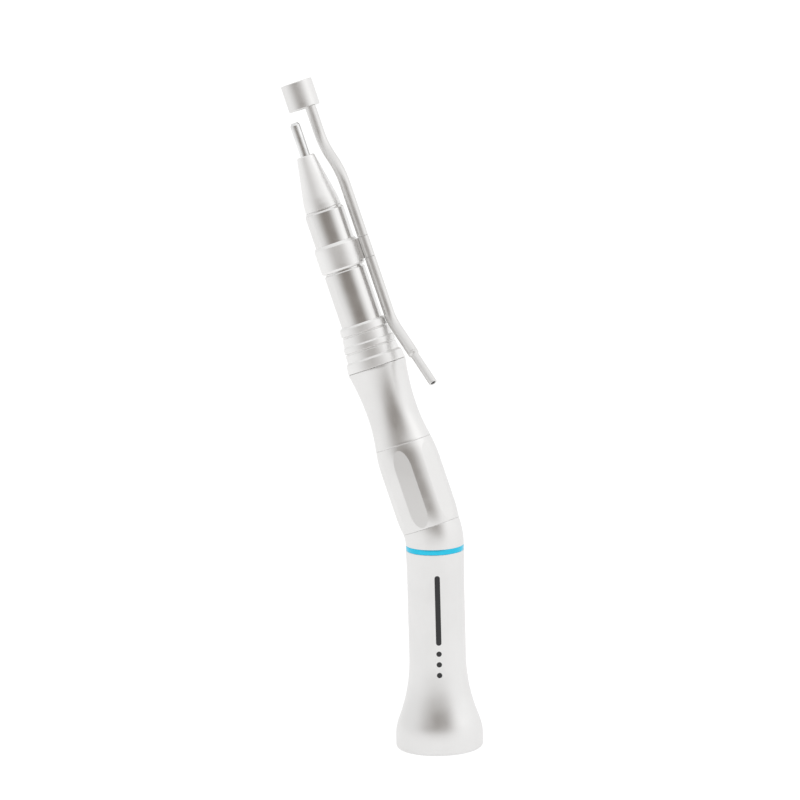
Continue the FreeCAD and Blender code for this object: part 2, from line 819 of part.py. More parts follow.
# ---------------------------------------------------------------- spindle, collet and bur

def make_spindle():
    """Hollow spindle from the front gear to the collet seat."""
    radius, root = dim("spindle_radius"), dim("shaft_radius")
    mid_foot = dim("mid_bearing_foot")
    mid_top = mid_foot + dim("spindle_bearing_width")
    front_foot = dim("front_bearing_foot")
    head = dim("collet_head_length")
    spindle = turned("spindle", [
        (0.0, dim("gear_hub_front")),
        (root, dim("gear_hub_front")),
        (root, dim("gear_back")),
        (radius, dim("gear_back")),
        (radius, mid_top),
        (radius + 0.4, mid_top),
        (radius + 0.4, mid_top + 1.0),
        (radius, mid_top + 1.4),
        (radius, front_foot - 2.4),
        (radius + 0.4, front_foot - 2.0),
        (radius + 0.4, front_foot),
        (radius, front_foot),
        (radius, dim("spindle_top")),
        (dim("collet_head_radius") + 0.05, dim("spindle_top")),
        (dim("spindle_bore"), dim("spindle_top") - head),
        (dim("spindle_bore"), dim("spindle_bore_foot")),
        (0.0, dim("spindle_bore_foot")),
    ], UPPER)
    pin = dim("collar_pin_radius") + 0.06
    height = dim("collar_foot") + dim("collar_width") / 2.0
    slot_top = height + dim("collet_travel") + pin
    pocket(spindle, "collar_pin_slot", rectangle(pin, height - pin, slot_top), both=True)
    tube("spring_seat", radius, radius + 1.3, dim("spring_seat_foot"), dim("spring_seat_foot") + 0.8, UPPER)
    nut_foot = front_foot + dim("spindle_bearing_width")
    tube("spindle_nut", radius, radius + 0.45, nut_foot, nut_foot + 1.2, UPPER)
    tube("mid_race_nut", radius, radius + 0.45, mid_foot - 1.0, mid_foot, UPPER)


def make_collet():
    """Collet with three jaws, the collar that pushes it open, their pin and the closing spring."""
    radius, bore = dim("collet_radius"), dim("collet_bore")
    head_foot = dim("collet_top") - dim("collet_head_length")
    collet = turned("collet", [
        (0.0, dim("collet_foot")), (radius, dim("collet_foot")), (radius, head_foot),
        (dim("collet_head_radius"), dim("collet_top")), (bore, dim("collet_top")),
        (bore, dim("collet_stop")), (0.0, dim("collet_stop")),
    ], UPPER)
    slit = pocket(collet, "jaw_slit", rectangle(dim("jaw_slit") / 2.0, dim("jaw_slit_foot"),
                                                dim("collet_top") + 0.5), offset=0.6)
    polar(collet, slit, dim("jaw_count"))
    foot, outer = dim("collar_foot"), dim("collar_radius")
    collar = tube("pull_collar", dim("spindle_radius") + 0.05, outer,
                  foot, foot + dim("collar_width"), UPPER)
    pin = dim("collar_pin_radius")
    half = outer - 0.2
    across = shift(-half, 0, foot + dim("collar_width") / 2.0, (0, 1, 0), 90.0)
    for body, name in ((collet, "collet_pin_hole"), (collar, "collar_pin_hole")):
        hole = add_feature(body, "SubtractiveCylinder", name, across, Radius=pin, Height=half * 2.0)
        body.Tip = hole
    rod = primitive("Cylinder", "collar_pin", UPPER.multiply(across), Radius=pin, Height=half * 2.0)
    rod.Label = "collar_pin"
    spring_foot = foot + dim("collar_width")
    make_spring("collet_spring", spring_foot, dim("spring_seat_foot"), UPPER)


def make_bur():
    """Dummy bur: a plain handpiece shank with a stepped, rounded tip."""
    radius, tail, tip = dim("bur_radius"), dim("bur_tail"), dim("bur_tip")
    turned("dummy_bur", [
        (0.0, tail), (radius - 0.3, tail), (radius, tail + 0.3), (radius, tip - 0.45),
        (radius - 0.4, tip, -0.5), (0.0, tip),
    ], UPPER)


# ---------------------------------------------------------------- chuck ring and cam

def make_chuck_ring():
    """Ribbed ring that is turned to open the chuck, and its two cam pins."""
    foot, bore = dim("chuck_foot"), dim("chuck_bore")
    ribs = [(dim(f"rib_radius_{rib}"), foot + dim(f"rib_rise_{rib}"))
            for rib in range(1, len(RIB_PROFILE) + 1)]
    top = ribs[-1][1]
    ring = turned("chuck_ring", [(bore, foot)] + ribs + [(bore, top)], UPPER)
    pin, inner = dim("cam_pin_radius"), dim("cam_sleeve_bore") + 0.05
    height = dim("cam_pin_height")
    length = dim("cam_pin_end") - inner
    for number, side in enumerate((1, -1), start=1):
        place = shift(inner * side, 0, height, (0, 1, 0), 90.0 * side)
        add_feature(ring, "SubtractiveCylinder", f"cam_pin_hole_{number}", place, Radius=pin, Height=length)
        rod = primitive("Cylinder", f"cam_pin_{number}", UPPER.multiply(place), Radius=pin, Height=length)
        rod.Label = f"cam_pin_{number}"


def make_cam_sleeve():
    """Sleeve with two slanted slots: the pins push it forward as the chuck ring turns."""
    sleeve = tube("cam_sleeve", dim("cam_sleeve_bore"), dim("cam_sleeve_radius"), dim("cam_sleeve_foot"),
                  dim("cam_sleeve_top"), upper(dim("cam_turn") / 2.0))
    middle_radius = (dim("cam_sleeve_bore") + dim("cam_sleeve_radius")) / 2.0
    reach = middle_radius * sine(dim("cam_turn") / 2.0)
    slope = dim("cam_rise") / (reach * 2.0)
    end = dim("cam_sleeve_radius") * sine(dim("cam_turn") / 2.0) + dim("cam_pin_radius") + dim("cam_play")
    half = dim("cam_pin_radius") + dim("cam_play") + 0.03
    middle = dim("cam_pin_height") - dim("cam_rise") / 2.0
    slot = pocket(sleeve, "cam_slot", [
        (-end, middle + slope * end - half), (end, middle - slope * end - half),
        (end, middle - slope * end + half), (-end, middle + slope * end + half),
    ])
    polar(sleeve, slot, 2)
    travel = dim("cam_rise")
    half = dim("key_radius") + dim("key_play")
    corner = shift(-half, dim("cam_sleeve_bore") - 0.3, dim("key_height") - half - travel)
    key = add_feature(sleeve, "SubtractiveBox", "key_slot", corner,
                      Length=half * 2.0, Width=1.4, Height=travel + half * 2.0)
    sleeve.Tip = key


# ---------------------------------------------------------------- water line

def make_clip():
    """Ring that clips on the nose tube and holds the water tube in an open hook."""
    bevel = dim("clip_bevel")
    foot, top, outer = dim("clip_foot"), dim("clip_top"), dim("clip_radius")
    ring = turned("clip_ring", [
        (dim("clip_bore"), foot), (outer - bevel * 0.7, foot), (outer, foot + bevel),
        (outer, top - bevel * 1.6), (outer - bevel * 0.8, top), (dim("clip_bore"), top),
    ], upper(dim("tube_azimuth")))
    hook_foot = dim("hook_foot")
    height = dim("hook_top") - hook_foot
    offset = dim("tube_offset")
    web_inner = dim("clip_bore") + 0.2
    web_width = dim("hook_web_width")
    add_feature(ring, "AdditiveBox", "hook_web", shift(web_inner, web_width / -2.0, hook_foot),
                Length=offset - 0.9 - web_inner, Width=web_width, Height=height)
    add_feature(ring, "AdditiveCylinder", "hook_wall", shift(offset, 0, hook_foot),
                Radius=dim("tube_radius"), Height=height)
    add_feature(ring, "SubtractiveCylinder", "hook_hollow", shift(offset, 0, hook_foot - 0.5),
                Radius=dim("hook_bore"), Height=height + 1.0)
    add_feature(ring, "SubtractiveBox", "hook_mouth", shift(offset - 0.6, 0.3, hook_foot - 0.5),
                Length=1.5, Width=1.5, Height=height + 1.0)


def tube_frame():
    """Frame of the water tube: Z along its straight run, X away from the handpiece in use."""
    across = dim("tube_offset") * cosine(dim("tube_azimuth"))
    aside = dim("tube_offset") * sine(dim("tube_azimuth"))
    turn = dim("tube_azimuth") + dim("tube_turn")
    return UPPER.multiply(shift(across, aside, 0, (0, 0, 1), turn))


def make_water_tube():
    """Water tube: a straight run, a double bend to the spray ring, and a bend out to the barb."""
    bend, radius = dim("tube_bend"), dim("tube_bend_radius")
    run = radius * tangent(bend / 2.0)
    run_out, run_up = run * sine(bend), run * cosine(bend)
    shift_in = -dim("tube_front_shift")
    first = dim("tube_front_corner")
    second = first + dim("tube_front_shift") / tangent(bend)
    rear_corner, rear_radius = dim("tube_rear_corner"), dim("tube_rear_radius")
    rear_run = rear_radius * tangent(bend / 2.0)
    rear_end = dim("tube_rear_end")
    body = new_body("water_tube", tube_frame())
    path = new_sketch(body, "water_tube_path", "XZ_Plane")
    draw(path, [
        (shift_in, dim("spray_foot")),
        (shift_in, second + run),
        (shift_in + run_out, second - run_up, -radius),
        (-run_out, first + run_up),
        (0.0, first - run, radius),
        (0.0, rear_corner + rear_run),
        (rear_run * sine(bend), rear_corner - rear_run * cosine(bend), -rear_radius),
        ((rear_corner - rear_end) * tangent(bend), rear_end),
    ], closed=False)
    section = new_sketch(body, "water_tube_section", "XY_Plane", dim("spray_foot"))
    draw_circle(section, dim("tube_radius"), shift_in)
    draw_circle(section, dim("tube_bore"), shift_in)
    pipe = body.newObject("PartDesign::AdditivePipe", "water_tube_pipe")
    pipe.Profile = section
    pipe.Spine = (path, [f"Edge{number}" for number in range(1, 8)])
    neck = new_sketch(body, "tube_neck_outline", "XZ_Plane")
    foot = dim("hook_foot") - dim("neck_play")
    top = dim("hook_top") + dim("neck_play")
    outside = dim("tube_radius") + 0.3
    draw(neck, [(dim("neck_radius"), foot), (outside, foot), (outside, top), (dim("neck_radius"), top)])
    groove = body.newObject("PartDesign::Groove", "tube_neck")
    groove.Profile = neck
    groove.ReferenceAxis = (neck, ["V_Axis"])
    groove.Angle = 360.0
    body.Tip = groove


def make_barb():
    """Thin spigot for the irrigation hose, soldered into the tube's rear end."""
    bend = dim("tube_bend")
    out = (dim("tube_rear_corner") - dim("tube_rear_end")) * tangent(bend)
    radius, length = dim("barb_radius"), dim("barb_length")
    turned("hose_barb", [
        (dim("barb_bore"), 0.0), (dim("tube_radius"), 0.0), (dim("tube_radius"), 0.35),
        (radius, 0.75), (radius, length - 0.15), (radius - 0.15, length), (dim("barb_bore"), length),
    ], tube_frame().multiply(shift(out, 0, dim("tube_rear_end"), (0, 1, 0), as_size(180.0) - bend)))


def make_spray_ring():
    """Spray ring, and the insert that closes its water channel and carries the spray holes."""
    foot, top = dim("spray_foot"), dim("spray_top")
    outer, insert, channel = dim("spray_radius"), dim("spray_insert_radius"), dim("spray_channel_radius")
    place = tube_frame().multiply(shift(-dim("tube_offset")))
    ring = turned("spray_ring", [
        (insert, foot), (outer - 0.22, foot), (outer, foot + 0.22), (outer, top - 0.12),
        (outer - 0.12, top), (insert, top), (insert, top - 1.6), (channel, top - 1.6),
        (channel, top - 3.6), (insert, top - 3.6),
    ], place)
    entry = dim("tube_offset") - dim("tube_front_shift")
    add_feature(ring, "SubtractiveCylinder", "water_entry", shift(entry, 0, foot - 0.5),
                Radius=dim("water_entry_radius"), Height=(top - 3.0) - foot + 0.5)
    liner = tube("spray_insert", dim("spray_bore"), insert, foot, top, place)
    hole = add_feature(liner, "SubtractiveCylinder", "spray_hole",
                       shift(insert + 0.5, 0, top - 2.6, (0, 1, 0), -90.0),
                       Radius=dim("spray_hole_radius"), Height=1.2)
    polar(liner, hole, dim("spray_holes"))


# ---------------------------------------------------------------- the whole handpiece

make_rear_sleeve()
make_coupling_liner()
rear_spacer_foot = make_rear_carrier()
make_colour_ring()
make_elbow()
make_gears()
rear_sizes = (dim("shaft_radius"), dim("rear_bearing_radius"), dim("rear_bearing_width"),
              dim("rear_ball_radius"))
make_bearing("rear_bearing_1", dim("rear_bearing_foot"), *rear_sizes)
make_bearing("rear_bearing_2", rear_spacer_foot + dim("rear_bearing_gap"), *rear_sizes)
make_rear_shaft()
make_drive_dog()
make_grip()
make_waist()
make_carrier()
make_front_housing()
make_nose()
spindle_sizes = (dim("spindle_radius"), dim("spindle_bearing_radius"), dim("spindle_bearing_width"),
                 dim("spindle_ball_radius"))
make_bearing("mid_bearing", dim("mid_bearing_foot"), *spindle_sizes, UPPER)
make_bearing("front_bearing", dim("front_bearing_foot"), *spindle_sizes, UPPER)
make_spindle()
make_collet()
make_bur()
make_chuck_ring()
make_cam_sleeve()
make_clip()
make_water_tube()
make_barb()
make_spray_ring()
doc.recompute()

SINGLE_SOLIDS = ("elbow_housing", "dog_pin", "sleeve_key", "collar_pin", "cam_pin_1", "cam_pin_2")
subparts = [item for item in doc.Objects if item.TypeId == "PartDesign::Body"]
subparts += [doc.getObject(name) for name in SINGLE_SOLIDS]
for item in doc.Objects:
    if "Invalid" in item.State or "Error" in item.State:
        raise RuntimeError(f"{item.Name} failed: {item.State}")
for item in subparts:
    if item.Shape.isNull() or not item.Shape.isValid():
        raise RuntimeError(f"{item.Label} has no valid shape")

os.makedirs("parts", exist_ok=True)
for item in subparts:
    item.Shape.exportStep(f"parts/{item.Label}.step")
    print(f"{item.Label}: {item.Shape.Volume:.2f} mm3, {len(item.Shape.Solids)} solid")
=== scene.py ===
import math

import bmesh
import bpy
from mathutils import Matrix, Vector
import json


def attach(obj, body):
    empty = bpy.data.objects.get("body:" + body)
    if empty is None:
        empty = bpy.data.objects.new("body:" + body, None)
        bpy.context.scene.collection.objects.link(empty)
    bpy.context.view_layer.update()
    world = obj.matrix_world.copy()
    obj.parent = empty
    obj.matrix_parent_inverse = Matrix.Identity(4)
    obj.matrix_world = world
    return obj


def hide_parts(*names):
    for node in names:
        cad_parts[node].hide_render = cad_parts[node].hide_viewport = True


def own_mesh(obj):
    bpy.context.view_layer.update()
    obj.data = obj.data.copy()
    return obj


# The looks of an angled surgical handpiece: outer pieces, springs, finishes, studio and camera.
# Pieces are worked out in millimetres and become metres as their meshes are made. Where a piece
# lies comes from the CAD node that it stands for; the numbers here are its own shape.

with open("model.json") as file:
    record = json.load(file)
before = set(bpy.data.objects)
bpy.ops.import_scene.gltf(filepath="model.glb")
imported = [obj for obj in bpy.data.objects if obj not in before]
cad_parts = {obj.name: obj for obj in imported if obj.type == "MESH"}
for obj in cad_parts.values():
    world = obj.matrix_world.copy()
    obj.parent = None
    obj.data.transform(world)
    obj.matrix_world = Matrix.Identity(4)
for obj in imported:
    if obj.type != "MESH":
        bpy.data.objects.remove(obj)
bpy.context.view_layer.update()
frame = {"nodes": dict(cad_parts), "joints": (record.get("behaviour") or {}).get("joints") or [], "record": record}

MM = 0.001
SEGMENTS = 168
ARC_STEP = math.radians(15.0)

BEHAVIOUR = frame["record"]["behaviour"]
JOINTS = {joint["name"]: joint for joint in frame["joints"]}
BODY_OF = {node: body for body, members in BEHAVIOUR["bodies"].items() for node in members}
SLOT_OF = {part["node"]: part["material_slot"] for part in frame["record"]["subparts"]}


# ---------------------------------------------------------------- axes

class Axis:
    """A straight axis: heights along it, and turns about it from its across direction."""

    def __init__(self, origin, along, across):
        self.origin = Vector(origin)
        self.along = Vector(along).normalized()
        self.across = Vector(across).normalized()
        self.side = self.along.cross(self.across)

    def at(self, radius, turn, height):
        """The point at a radius and a turn, at a height."""
        out = self.across * math.cos(turn) + self.side * math.sin(turn)
        return self.origin + self.along * height + out * radius

    def moved(self, radius=0.0, turn=0.0, facing=0.0):
        """A parallel axis beside this one, whose across direction is turned to `facing`."""
        across = self.across * math.cos(facing) + self.side * math.sin(facing)
        return Axis(self.at(radius, turn, 0.0), self.along, across)

    def extent(self, node):
        """Foot, top, inner radius and outer radius of a CAD node about this axis."""
        heights, radii = [], []
        for vertex in frame["nodes"][node].data.vertices:
            offset = vertex.co / MM - self.origin
            height = offset.dot(self.along)
            heights.append(height)
            radii.append((offset - self.along * height).length)
        return min(heights), max(heights), min(radii), max(radii)


class Route:
    """Straight runs joined by tangent arcs in one plane. Its heights are lengths along it."""

    def __init__(self, corners, radii, side):
        self.side = side
        self.pieces = []
        self.length = 0.0
        start = corners[0]
        for before, corner, after, radius in zip(corners, corners[1:], corners[2:], radii):
            arriving = (corner - before).normalized()
            leaving = (after - corner).normalized()
            turn = arriving.angle(leaving)
            reach = radius * math.tan(turn / 2)
            self.add(start, arriving, (corner - start).length - reach, 0.0, arriving)
            inward = (leaving - arriving * arriving.dot(leaving)).normalized()
            self.add(corner - arriving * reach, arriving, radius * turn, radius, inward)
            start = corner + leaving * reach
        last = (corners[-1] - corners[-2]).normalized()
        self.add(start, last, (corners[-1] - start).length, 0.0, last)

    def add(self, start, along, length, radius, inward):
        self.pieces.append((self.length, start, along, length, radius, inward))
        self.length += length

    def joints(self):
        """Lengths at which one stretch ends and the next begins."""
        return [piece[0] for piece in self.pieces] + [self.length]

    def at(self, radius, turn, height):
        """The point at a radius and a turn about the route, at a length along it."""
        piece = next((one for one in self.pieces if height <= one[0] + one[3]), self.pieces[-1])
        begin, start, along, _, bend, inward = piece
        travel = height - begin
        if bend:
            angle = travel / bend
            point = start + along * (bend * math.sin(angle)) + inward * (bend * (1 - math.cos(angle)))
            along = along * math.cos(angle) + inward * math.sin(angle)
        else:
            point = start + along * travel
        across = self.side.cross(along)
        return point + (across * math.cos(turn) + self.side * math.sin(turn)) * radius


LOWER = Axis((0, 0, 0), (0, 0, 1), (1, 0, 0))
BEND_POINT = Vector(JOINTS["spindle_spin"]["pos_m"]) / MM
LEAN = Vector(JOINTS["spindle_spin"]["axis"])
UPPER = Axis(BEND_POINT, LEAN, LOWER.side.cross(LEAN))


# ---------------------------------------------------------------- outlines

def rounded(outline, closed=True):
    """Turn each corner (radius, height, fillet) into an arc, with a point on each run beside it."""
    support = 0.35
    count = len(outline)
    result = []
    for index, corner in enumerate(outline):
        here = Vector(corner[:2])
        fillet = corner[2] if len(corner) > 2 else 0.0
        inner = closed or 0 < index < count - 1
        if not (fillet and inner):
            result.append(here)
            continue
        before = Vector(outline[index - 1][:2])
        after = Vector(outline[(index + 1) % count][:2])
        arriving, leaving = (here - before), (after - here)
        room = 0.45 * min(arriving.length, leaving.length)
        arriving.normalize()
        leaving.normalize()
        turn = arriving.angle(leaving)
        reach = min(fillet * math.tan(turn / 2), room)
        radius = reach / math.tan(turn / 2)
        inward = (leaving - arriving * arriving.dot(leaving)).normalized()
        tangent = here - arriving * reach
        steps = max(2, math.ceil(turn / ARC_STEP))
        result.append(tangent - arriving * (reach * support))
        for step in range(steps + 1):
            angle = turn * step / steps
            along, across = radius * math.sin(angle), radius * (1 - math.cos(angle))
            result.append(tangent + arriving * along + inward * across)
        result.append(here + leaving * (reach * (1 + support)))
    return [tuple(point) for point in result]


def bowed(start, end, flat_end, steps=16):
    """Points of an arc from start to end, parallel to the axis at its flat end."""
    drop, run = start[0] - end[0], end[1] - start[1]
    bow = (drop * drop + run * run) / (2 * abs(drop))
    points = []
    for step in range(steps + 1):
        height = start[1] + run * step / steps
        away = height - (end[1] if flat_end == "end" else start[1])
        off = math.copysign(bow - math.sqrt(bow * bow - away * away), drop)
        points.append((end[0] + off if flat_end == "end" else start[0] - off, height))
    return points


def evenly(radius, start, end, step):
    """Points of a straight run along the axis."""
    count = max(1, math.ceil(abs(end - start) / step))
    return [(radius, start + (end - start) * index / count) for index in range(count + 1)]


# ---------------------------------------------------------------- meshes

def new_piece(name, points, faces, sharp_angle=30.0):
    """A closed mesh object from points in millimetres."""
    mesh = bpy.data.meshes.new(name)
    mesh.from_pydata([tuple(point * MM) for point in points], [], faces)
    form = bmesh.new()
    form.from_mesh(mesh)
    bmesh.ops.recalc_face_normals(form, faces=form.faces)
    form.to_mesh(mesh)
    form.free()
    mesh.shade_smooth()
    mesh.set_sharp_from_angle(angle=math.radians(sharp_angle))
    piece = bpy.data.objects.new(name, mesh)
    bpy.context.scene.collection.objects.link(piece)
    return piece


def join_rings(rings, closed):
    """Faces between rings of point numbers. A ring of one number is a point on the axis."""
    faces = []
    pairs = list(zip(rings, rings[1:])) + ([(rings[-1], rings[0])] if closed else [])
    for one, other in pairs:
        count = max(len(one), len(other))
        for index in range(count):
            following = (index + 1) % count
            corners = [one[index % len(one)], one[following % len(one)],
                       other[following % len(other)], other[index % len(other)]]
            faces.append(list(dict.fromkeys(corners)))
    return faces


def turned(name, axis, outline, closed=True, segments=SEGMENTS):
    """A solid turned about an axis from its outline. An open outline starts and ends on the axis."""
    points, rings = [], []
    for radius, height in outline:
        ring_count = 1 if radius < 1e-6 else segments
        rings.append(list(range(len(points), len(points) + ring_count)))
        points += [axis.at(radius, math.tau * index / segments, height) for index in range(ring_count)]
    return new_piece(name, points, join_rings(rings, closed))


def extruded(name, axis, outline, foot, top, bevel):
    """A solid with a flat outline (across, side) along an axis, with small bevels at its ends."""
    points, rings = [], []
    levels = [(foot, bevel), (foot + bevel, 0.0), (top - bevel, 0.0), (top, bevel)]
    for height, inset in levels:
        rings.append(list(range(len(points), len(points) + len(outline))))
        for across, side in inset_outline(outline, inset):
            points.append(axis.origin + axis.across * across + axis.side * side + axis.along * height)
    faces = join_rings(rings, False) + [rings[0][::-1], rings[-1]]
    return new_piece(name, points, faces)


def inset_outline(outline, inset):
    """An outline, given counter-clockwise, drawn in by a small distance."""
    count = len(outline)
    result = []
    for index in range(count):
        here = Vector(outline[index])
        before = (here - Vector(outline[index - 1])).normalized()
        after = (Vector(outline[(index + 1) % count]) - here).normalized()
        normal = Vector((-before.y - after.y, before.x + after.x)).normalized()
        result.append(here + normal * inset)
    return result


def cut(piece, axis, half_width, foot, top, reach):
    """Cut a slot with square ends right through a piece, across its axis."""
    corners = [(-half_width, -reach), (half_width, -reach), (half_width, reach), (-half_width, reach)]
    points = []
    for height in (foot, top):
        for aside, across in corners:
            points.append(axis.origin + axis.side * aside + axis.across * across + axis.along * height)
    faces = join_rings([[0, 1, 2, 3], [4, 5, 6, 7]], False) + [[3, 2, 1, 0], [4, 5, 6, 7]]
    cutter = new_piece(f"{piece.name}_cutter", points, faces)
    modifier = piece.modifiers.new("slot", "BOOLEAN")
    modifier.operation = "DIFFERENCE"
    modifier.solver = "EXACT"
    modifier.object = cutter
    evaluated = piece.evaluated_get(bpy.context.evaluated_depsgraph_get())
    mesh = bpy.data.meshes.new_from_object(evaluated)
    piece.modifiers.clear()
    piece.data = mesh
    bpy.data.objects.remove(cutter)


# ---------------------------------------------------------------- finishes

def new_finish(name, color, metallic, roughness):
    """A material and its Principled shader, with what is the same all over set on the shader."""
    material = bpy.data.materials.new(name)
    material.use_nodes = True
    shader = material.node_tree.nodes["Principled BSDF"]
    shader.inputs["Base Color"].default_value = (*color, 1.0)
    shader.inputs["Metallic"].default_value = metallic
    shader.inputs["Roughness"].default_value = roughness
    return material, shader


def add_node(tree, kind, inputs=None, **settings):
    """A shader node. Inputs are numbers, colours or other nodes' outputs, by name or number."""
    item = tree.nodes.new(kind)
    for key, setting in settings.items():
        setattr(item, key, setting)
    for key, source in (inputs or {}).items():
        if isinstance(source, bpy.types.NodeSocket):
            tree.links.new(source, item.inputs[key])
        else:
            item.inputs[key].default_value = source
    return item


def math_node(tree, operation, *operands, clamp=False):
    """Output of a Math node on numbers or outputs."""
    inputs = dict(enumerate(operands))
    return add_node(tree, "ShaderNodeMath", inputs, operation=operation, use_clamp=clamp).outputs[0]


def ramp(tree, source, low, high, at_low, at_high):
    """A value that goes smoothly from at_low to at_high while the source goes from low to high."""
    inputs = {"Value": source, "From Min": low, "From Max": high, "To Min": at_low, "To Max": at_high}
    return add_node(tree, "ShaderNodeMapRange", inputs, interpolation_type="SMOOTHSTEP").outputs["Result"]


def object_noise(tree, size_mm, detail=2.0, stretch=None):
    """Noise with features of about a size, fixed to the object."""
    place = add_node(tree, "ShaderNodeTexCoord").outputs["Object"]
    if stretch:
        place = add_node(tree, "ShaderNodeMapping", {"Vector": place, "Scale": stretch}).outputs["Vector"]
    inputs = {"Vector": place, "Scale": 1.0 / (size_mm * MM), "Detail": detail}
    return add_node(tree, "ShaderNodeTexNoise", inputs).outputs["Fac"]


def mixed(tree, factor, one, other):
    """Output of a colour mix."""
    item = add_node(tree, "ShaderNodeMix", data_type="RGBA")
    for index, source in ((0, factor), (6, one), (7, other)):
        if isinstance(source, bpy.types.NodeSocket):
            tree.links.new(source, item.inputs[index])
        else:
            item.inputs[index].default_value = source
    return item.outputs[2]


def darker(color, share):
    """A colour with an alpha, at a share of its brightness."""
    return (*[channel * share for channel in color], 1.0)


def tinted(tree, shader, color, size_mm, detail, share):
    """Let the base colour vary between the colour and a darker share of it."""
    tint = ramp(tree, object_noise(tree, size_mm, detail), 0.35, 0.65, 0.0, 1.0)
    tree.links.new(mixed(tree, tint, darker(color, share), (*color, 1.0)), shader.inputs["Base Color"])


def grain_bump(tree, shader, grain_mm, depth_mm, strength):
    """Fine relief in two sizes, as bead blasting leaves it."""
    broad_share = 3.3
    fine = object_noise(tree, grain_mm)
    broad = object_noise(tree, grain_mm * broad_share)
    height = math_node(tree, "ADD", fine, broad)
    inputs = {"Height": height, "Distance": depth_mm * MM, "Strength": strength}
    bump = add_node(tree, "ShaderNodeBump", inputs)
    tree.links.new(bump.outputs["Normal"], shader.inputs["Normal"])


def blasted_metal(name, color, roughness, grain_mm=0.12, strength=0.065, wear=0.09, speck=0.007):
    """Satin metal: blasted grain, faint handling marks and, with wear, edges more polished."""
    grain_depth, speck_share, cloud_size, tint_size = 0.012, 2.2, 5.5, 9.0
    material, shader = new_finish(name, color, 1.0, roughness)
    tree = material.node_tree
    grain_bump(tree, shader, grain_mm, grain_depth, strength)
    cloud = ramp(tree, object_noise(tree, cloud_size, 3.0), 0.36, 0.64, -0.025, 0.03)
    grain = ramp(tree, object_noise(tree, grain_mm * speck_share, 3.0), 0.30, 0.70, -speck, speck)
    total = math_node(tree, "ADD", cloud, grain)
    if wear:
        edge = add_node(tree, "ShaderNodeNewGeometry").outputs["Pointiness"]
        total = math_node(tree, "ADD", total, ramp(tree, edge, 0.56, 0.68, 0.0, -wear))
    tree.links.new(math_node(tree, "ADD", total, roughness, clamp=True), shader.inputs["Roughness"])
    tinted(tree, shader, color, tint_size, 2.0, 0.975)
    return material


def marked_metal(name, color, roughness, marks):
    """The satin metal of the rear sleeve, with plain dark marks where makers put their lettering."""
    mark_blur, ink, ink_roughness = 0.03, (0.022, 0.022, 0.024, 1.0), 0.25
    material = blasted_metal(name, color, roughness)
    tree = material.node_tree
    shader = tree.nodes["Principled BSDF"]
    place = add_node(tree, "ShaderNodeTexCoord").outputs["Object"]
    parts = add_node(tree, "ShaderNodeSeparateXYZ", {"Vector": place})
    facing = math.radians(MARK_FACING)
    away_x = math_node(tree, "MULTIPLY", parts.outputs["X"], -math.cos(facing))
    sideways = math_node(tree, "MULTIPLY_ADD", parts.outputs["Y"], -math.sin(facing), away_x)
    front = math_node(tree, "MULTIPLY", parts.outputs["X"], math.sin(facing))
    front = math_node(tree, "MULTIPLY_ADD", parts.outputs["Y"], -math.cos(facing), front)
    total = 0.0
    for side, height, half_width, half_height in marks:
        half_short = min(half_width, half_height)
        off_side = math_node(tree, "ABSOLUTE", math_node(tree, "ADD", sideways, side * MM))
        above = math_node(tree, "SUBTRACT", parts.outputs["Z"], height * MM)
        off_height = math_node(tree, "ABSOLUTE", above)
        past_side = math_node(tree, "SUBTRACT", off_side, (half_width - half_short) * MM)
        past_height = math_node(tree, "SUBTRACT", off_height, (half_height - half_short) * MM)
        corner = add_node(tree, "ShaderNodeCombineXYZ", {
            "X": math_node(tree, "MAXIMUM", past_side, 0.0),
            "Y": math_node(tree, "MAXIMUM", past_height, 0.0)})
        distance = add_node(tree, "ShaderNodeVectorMath", {0: corner.outputs[0]}, operation="LENGTH")
        inside, outside = (half_short - mark_blur) * MM, (half_short + mark_blur) * MM
        edge = ramp(tree, distance.outputs["Value"], inside, outside, 1.0, 0.0)
        total = math_node(tree, "MAXIMUM", edge, total)
    visible = math_node(tree, "MULTIPLY", total, math_node(tree, "GREATER_THAN", front, 0.0))
    base = shader.inputs["Base Color"].links[0].from_socket
    tree.links.new(mixed(tree, visible, base, ink), shader.inputs["Base Color"])
    tree.links.new(math_node(tree, "SUBTRACT", 1.0, visible), shader.inputs["Metallic"])
    rough = shader.inputs["Roughness"].links[0].from_socket
    dull = math_node(tree, "MULTIPLY_ADD", visible, ink_roughness, rough)
    tree.links.new(dull, shader.inputs["Roughness"])
    return material


def turned_metal(name, color, roughness, pitch_mm=0.09, strength=0.25):
    """Machined metal with fine tool lines round its axis."""
    material, shader = new_finish(name, color, 1.0, roughness)
    tree = material.node_tree
    lines = object_noise(tree, pitch_mm, 1.0, (0.03, 0.03, 1.0))
    bump = add_node(tree, "ShaderNodeBump", {"Height": lines, "Distance": 0.01 * MM, "Strength": strength})
    tree.links.new(bump.outputs["Normal"], shader.inputs["Normal"])
    cloud = ramp(tree, object_noise(tree, 1.6, 3.0), 0.35, 0.65, -0.05, 0.06)
    tree.links.new(math_node(tree, "ADD", cloud, roughness, clamp=True), shader.inputs["Roughness"])
    tinted(tree, shader, color, 3.0, 2.0, 0.9)
    return material


def blue_enamel():
    """Glossy blue of the marker ring, with a faint orange-peel surface."""
    color = (0.022, 0.600, 0.860)
    material, shader = new_finish("ring_blue", color, 0.85, 0.16)
    tree = material.node_tree
    peel = object_noise(tree, 0.5, 1.0)
    bump = add_node(tree, "ShaderNodeBump", {"Height": peel, "Distance": 0.01 * MM, "Strength": 0.10})
    tree.links.new(bump.outputs["Normal"], shader.inputs["Normal"])
    tinted(tree, shader, color, 2.0, 2.0, 0.94)
    shader.inputs["Coat Weight"].default_value = 0.4
    shader.inputs["Coat Roughness"].default_value = 0.08
    return material


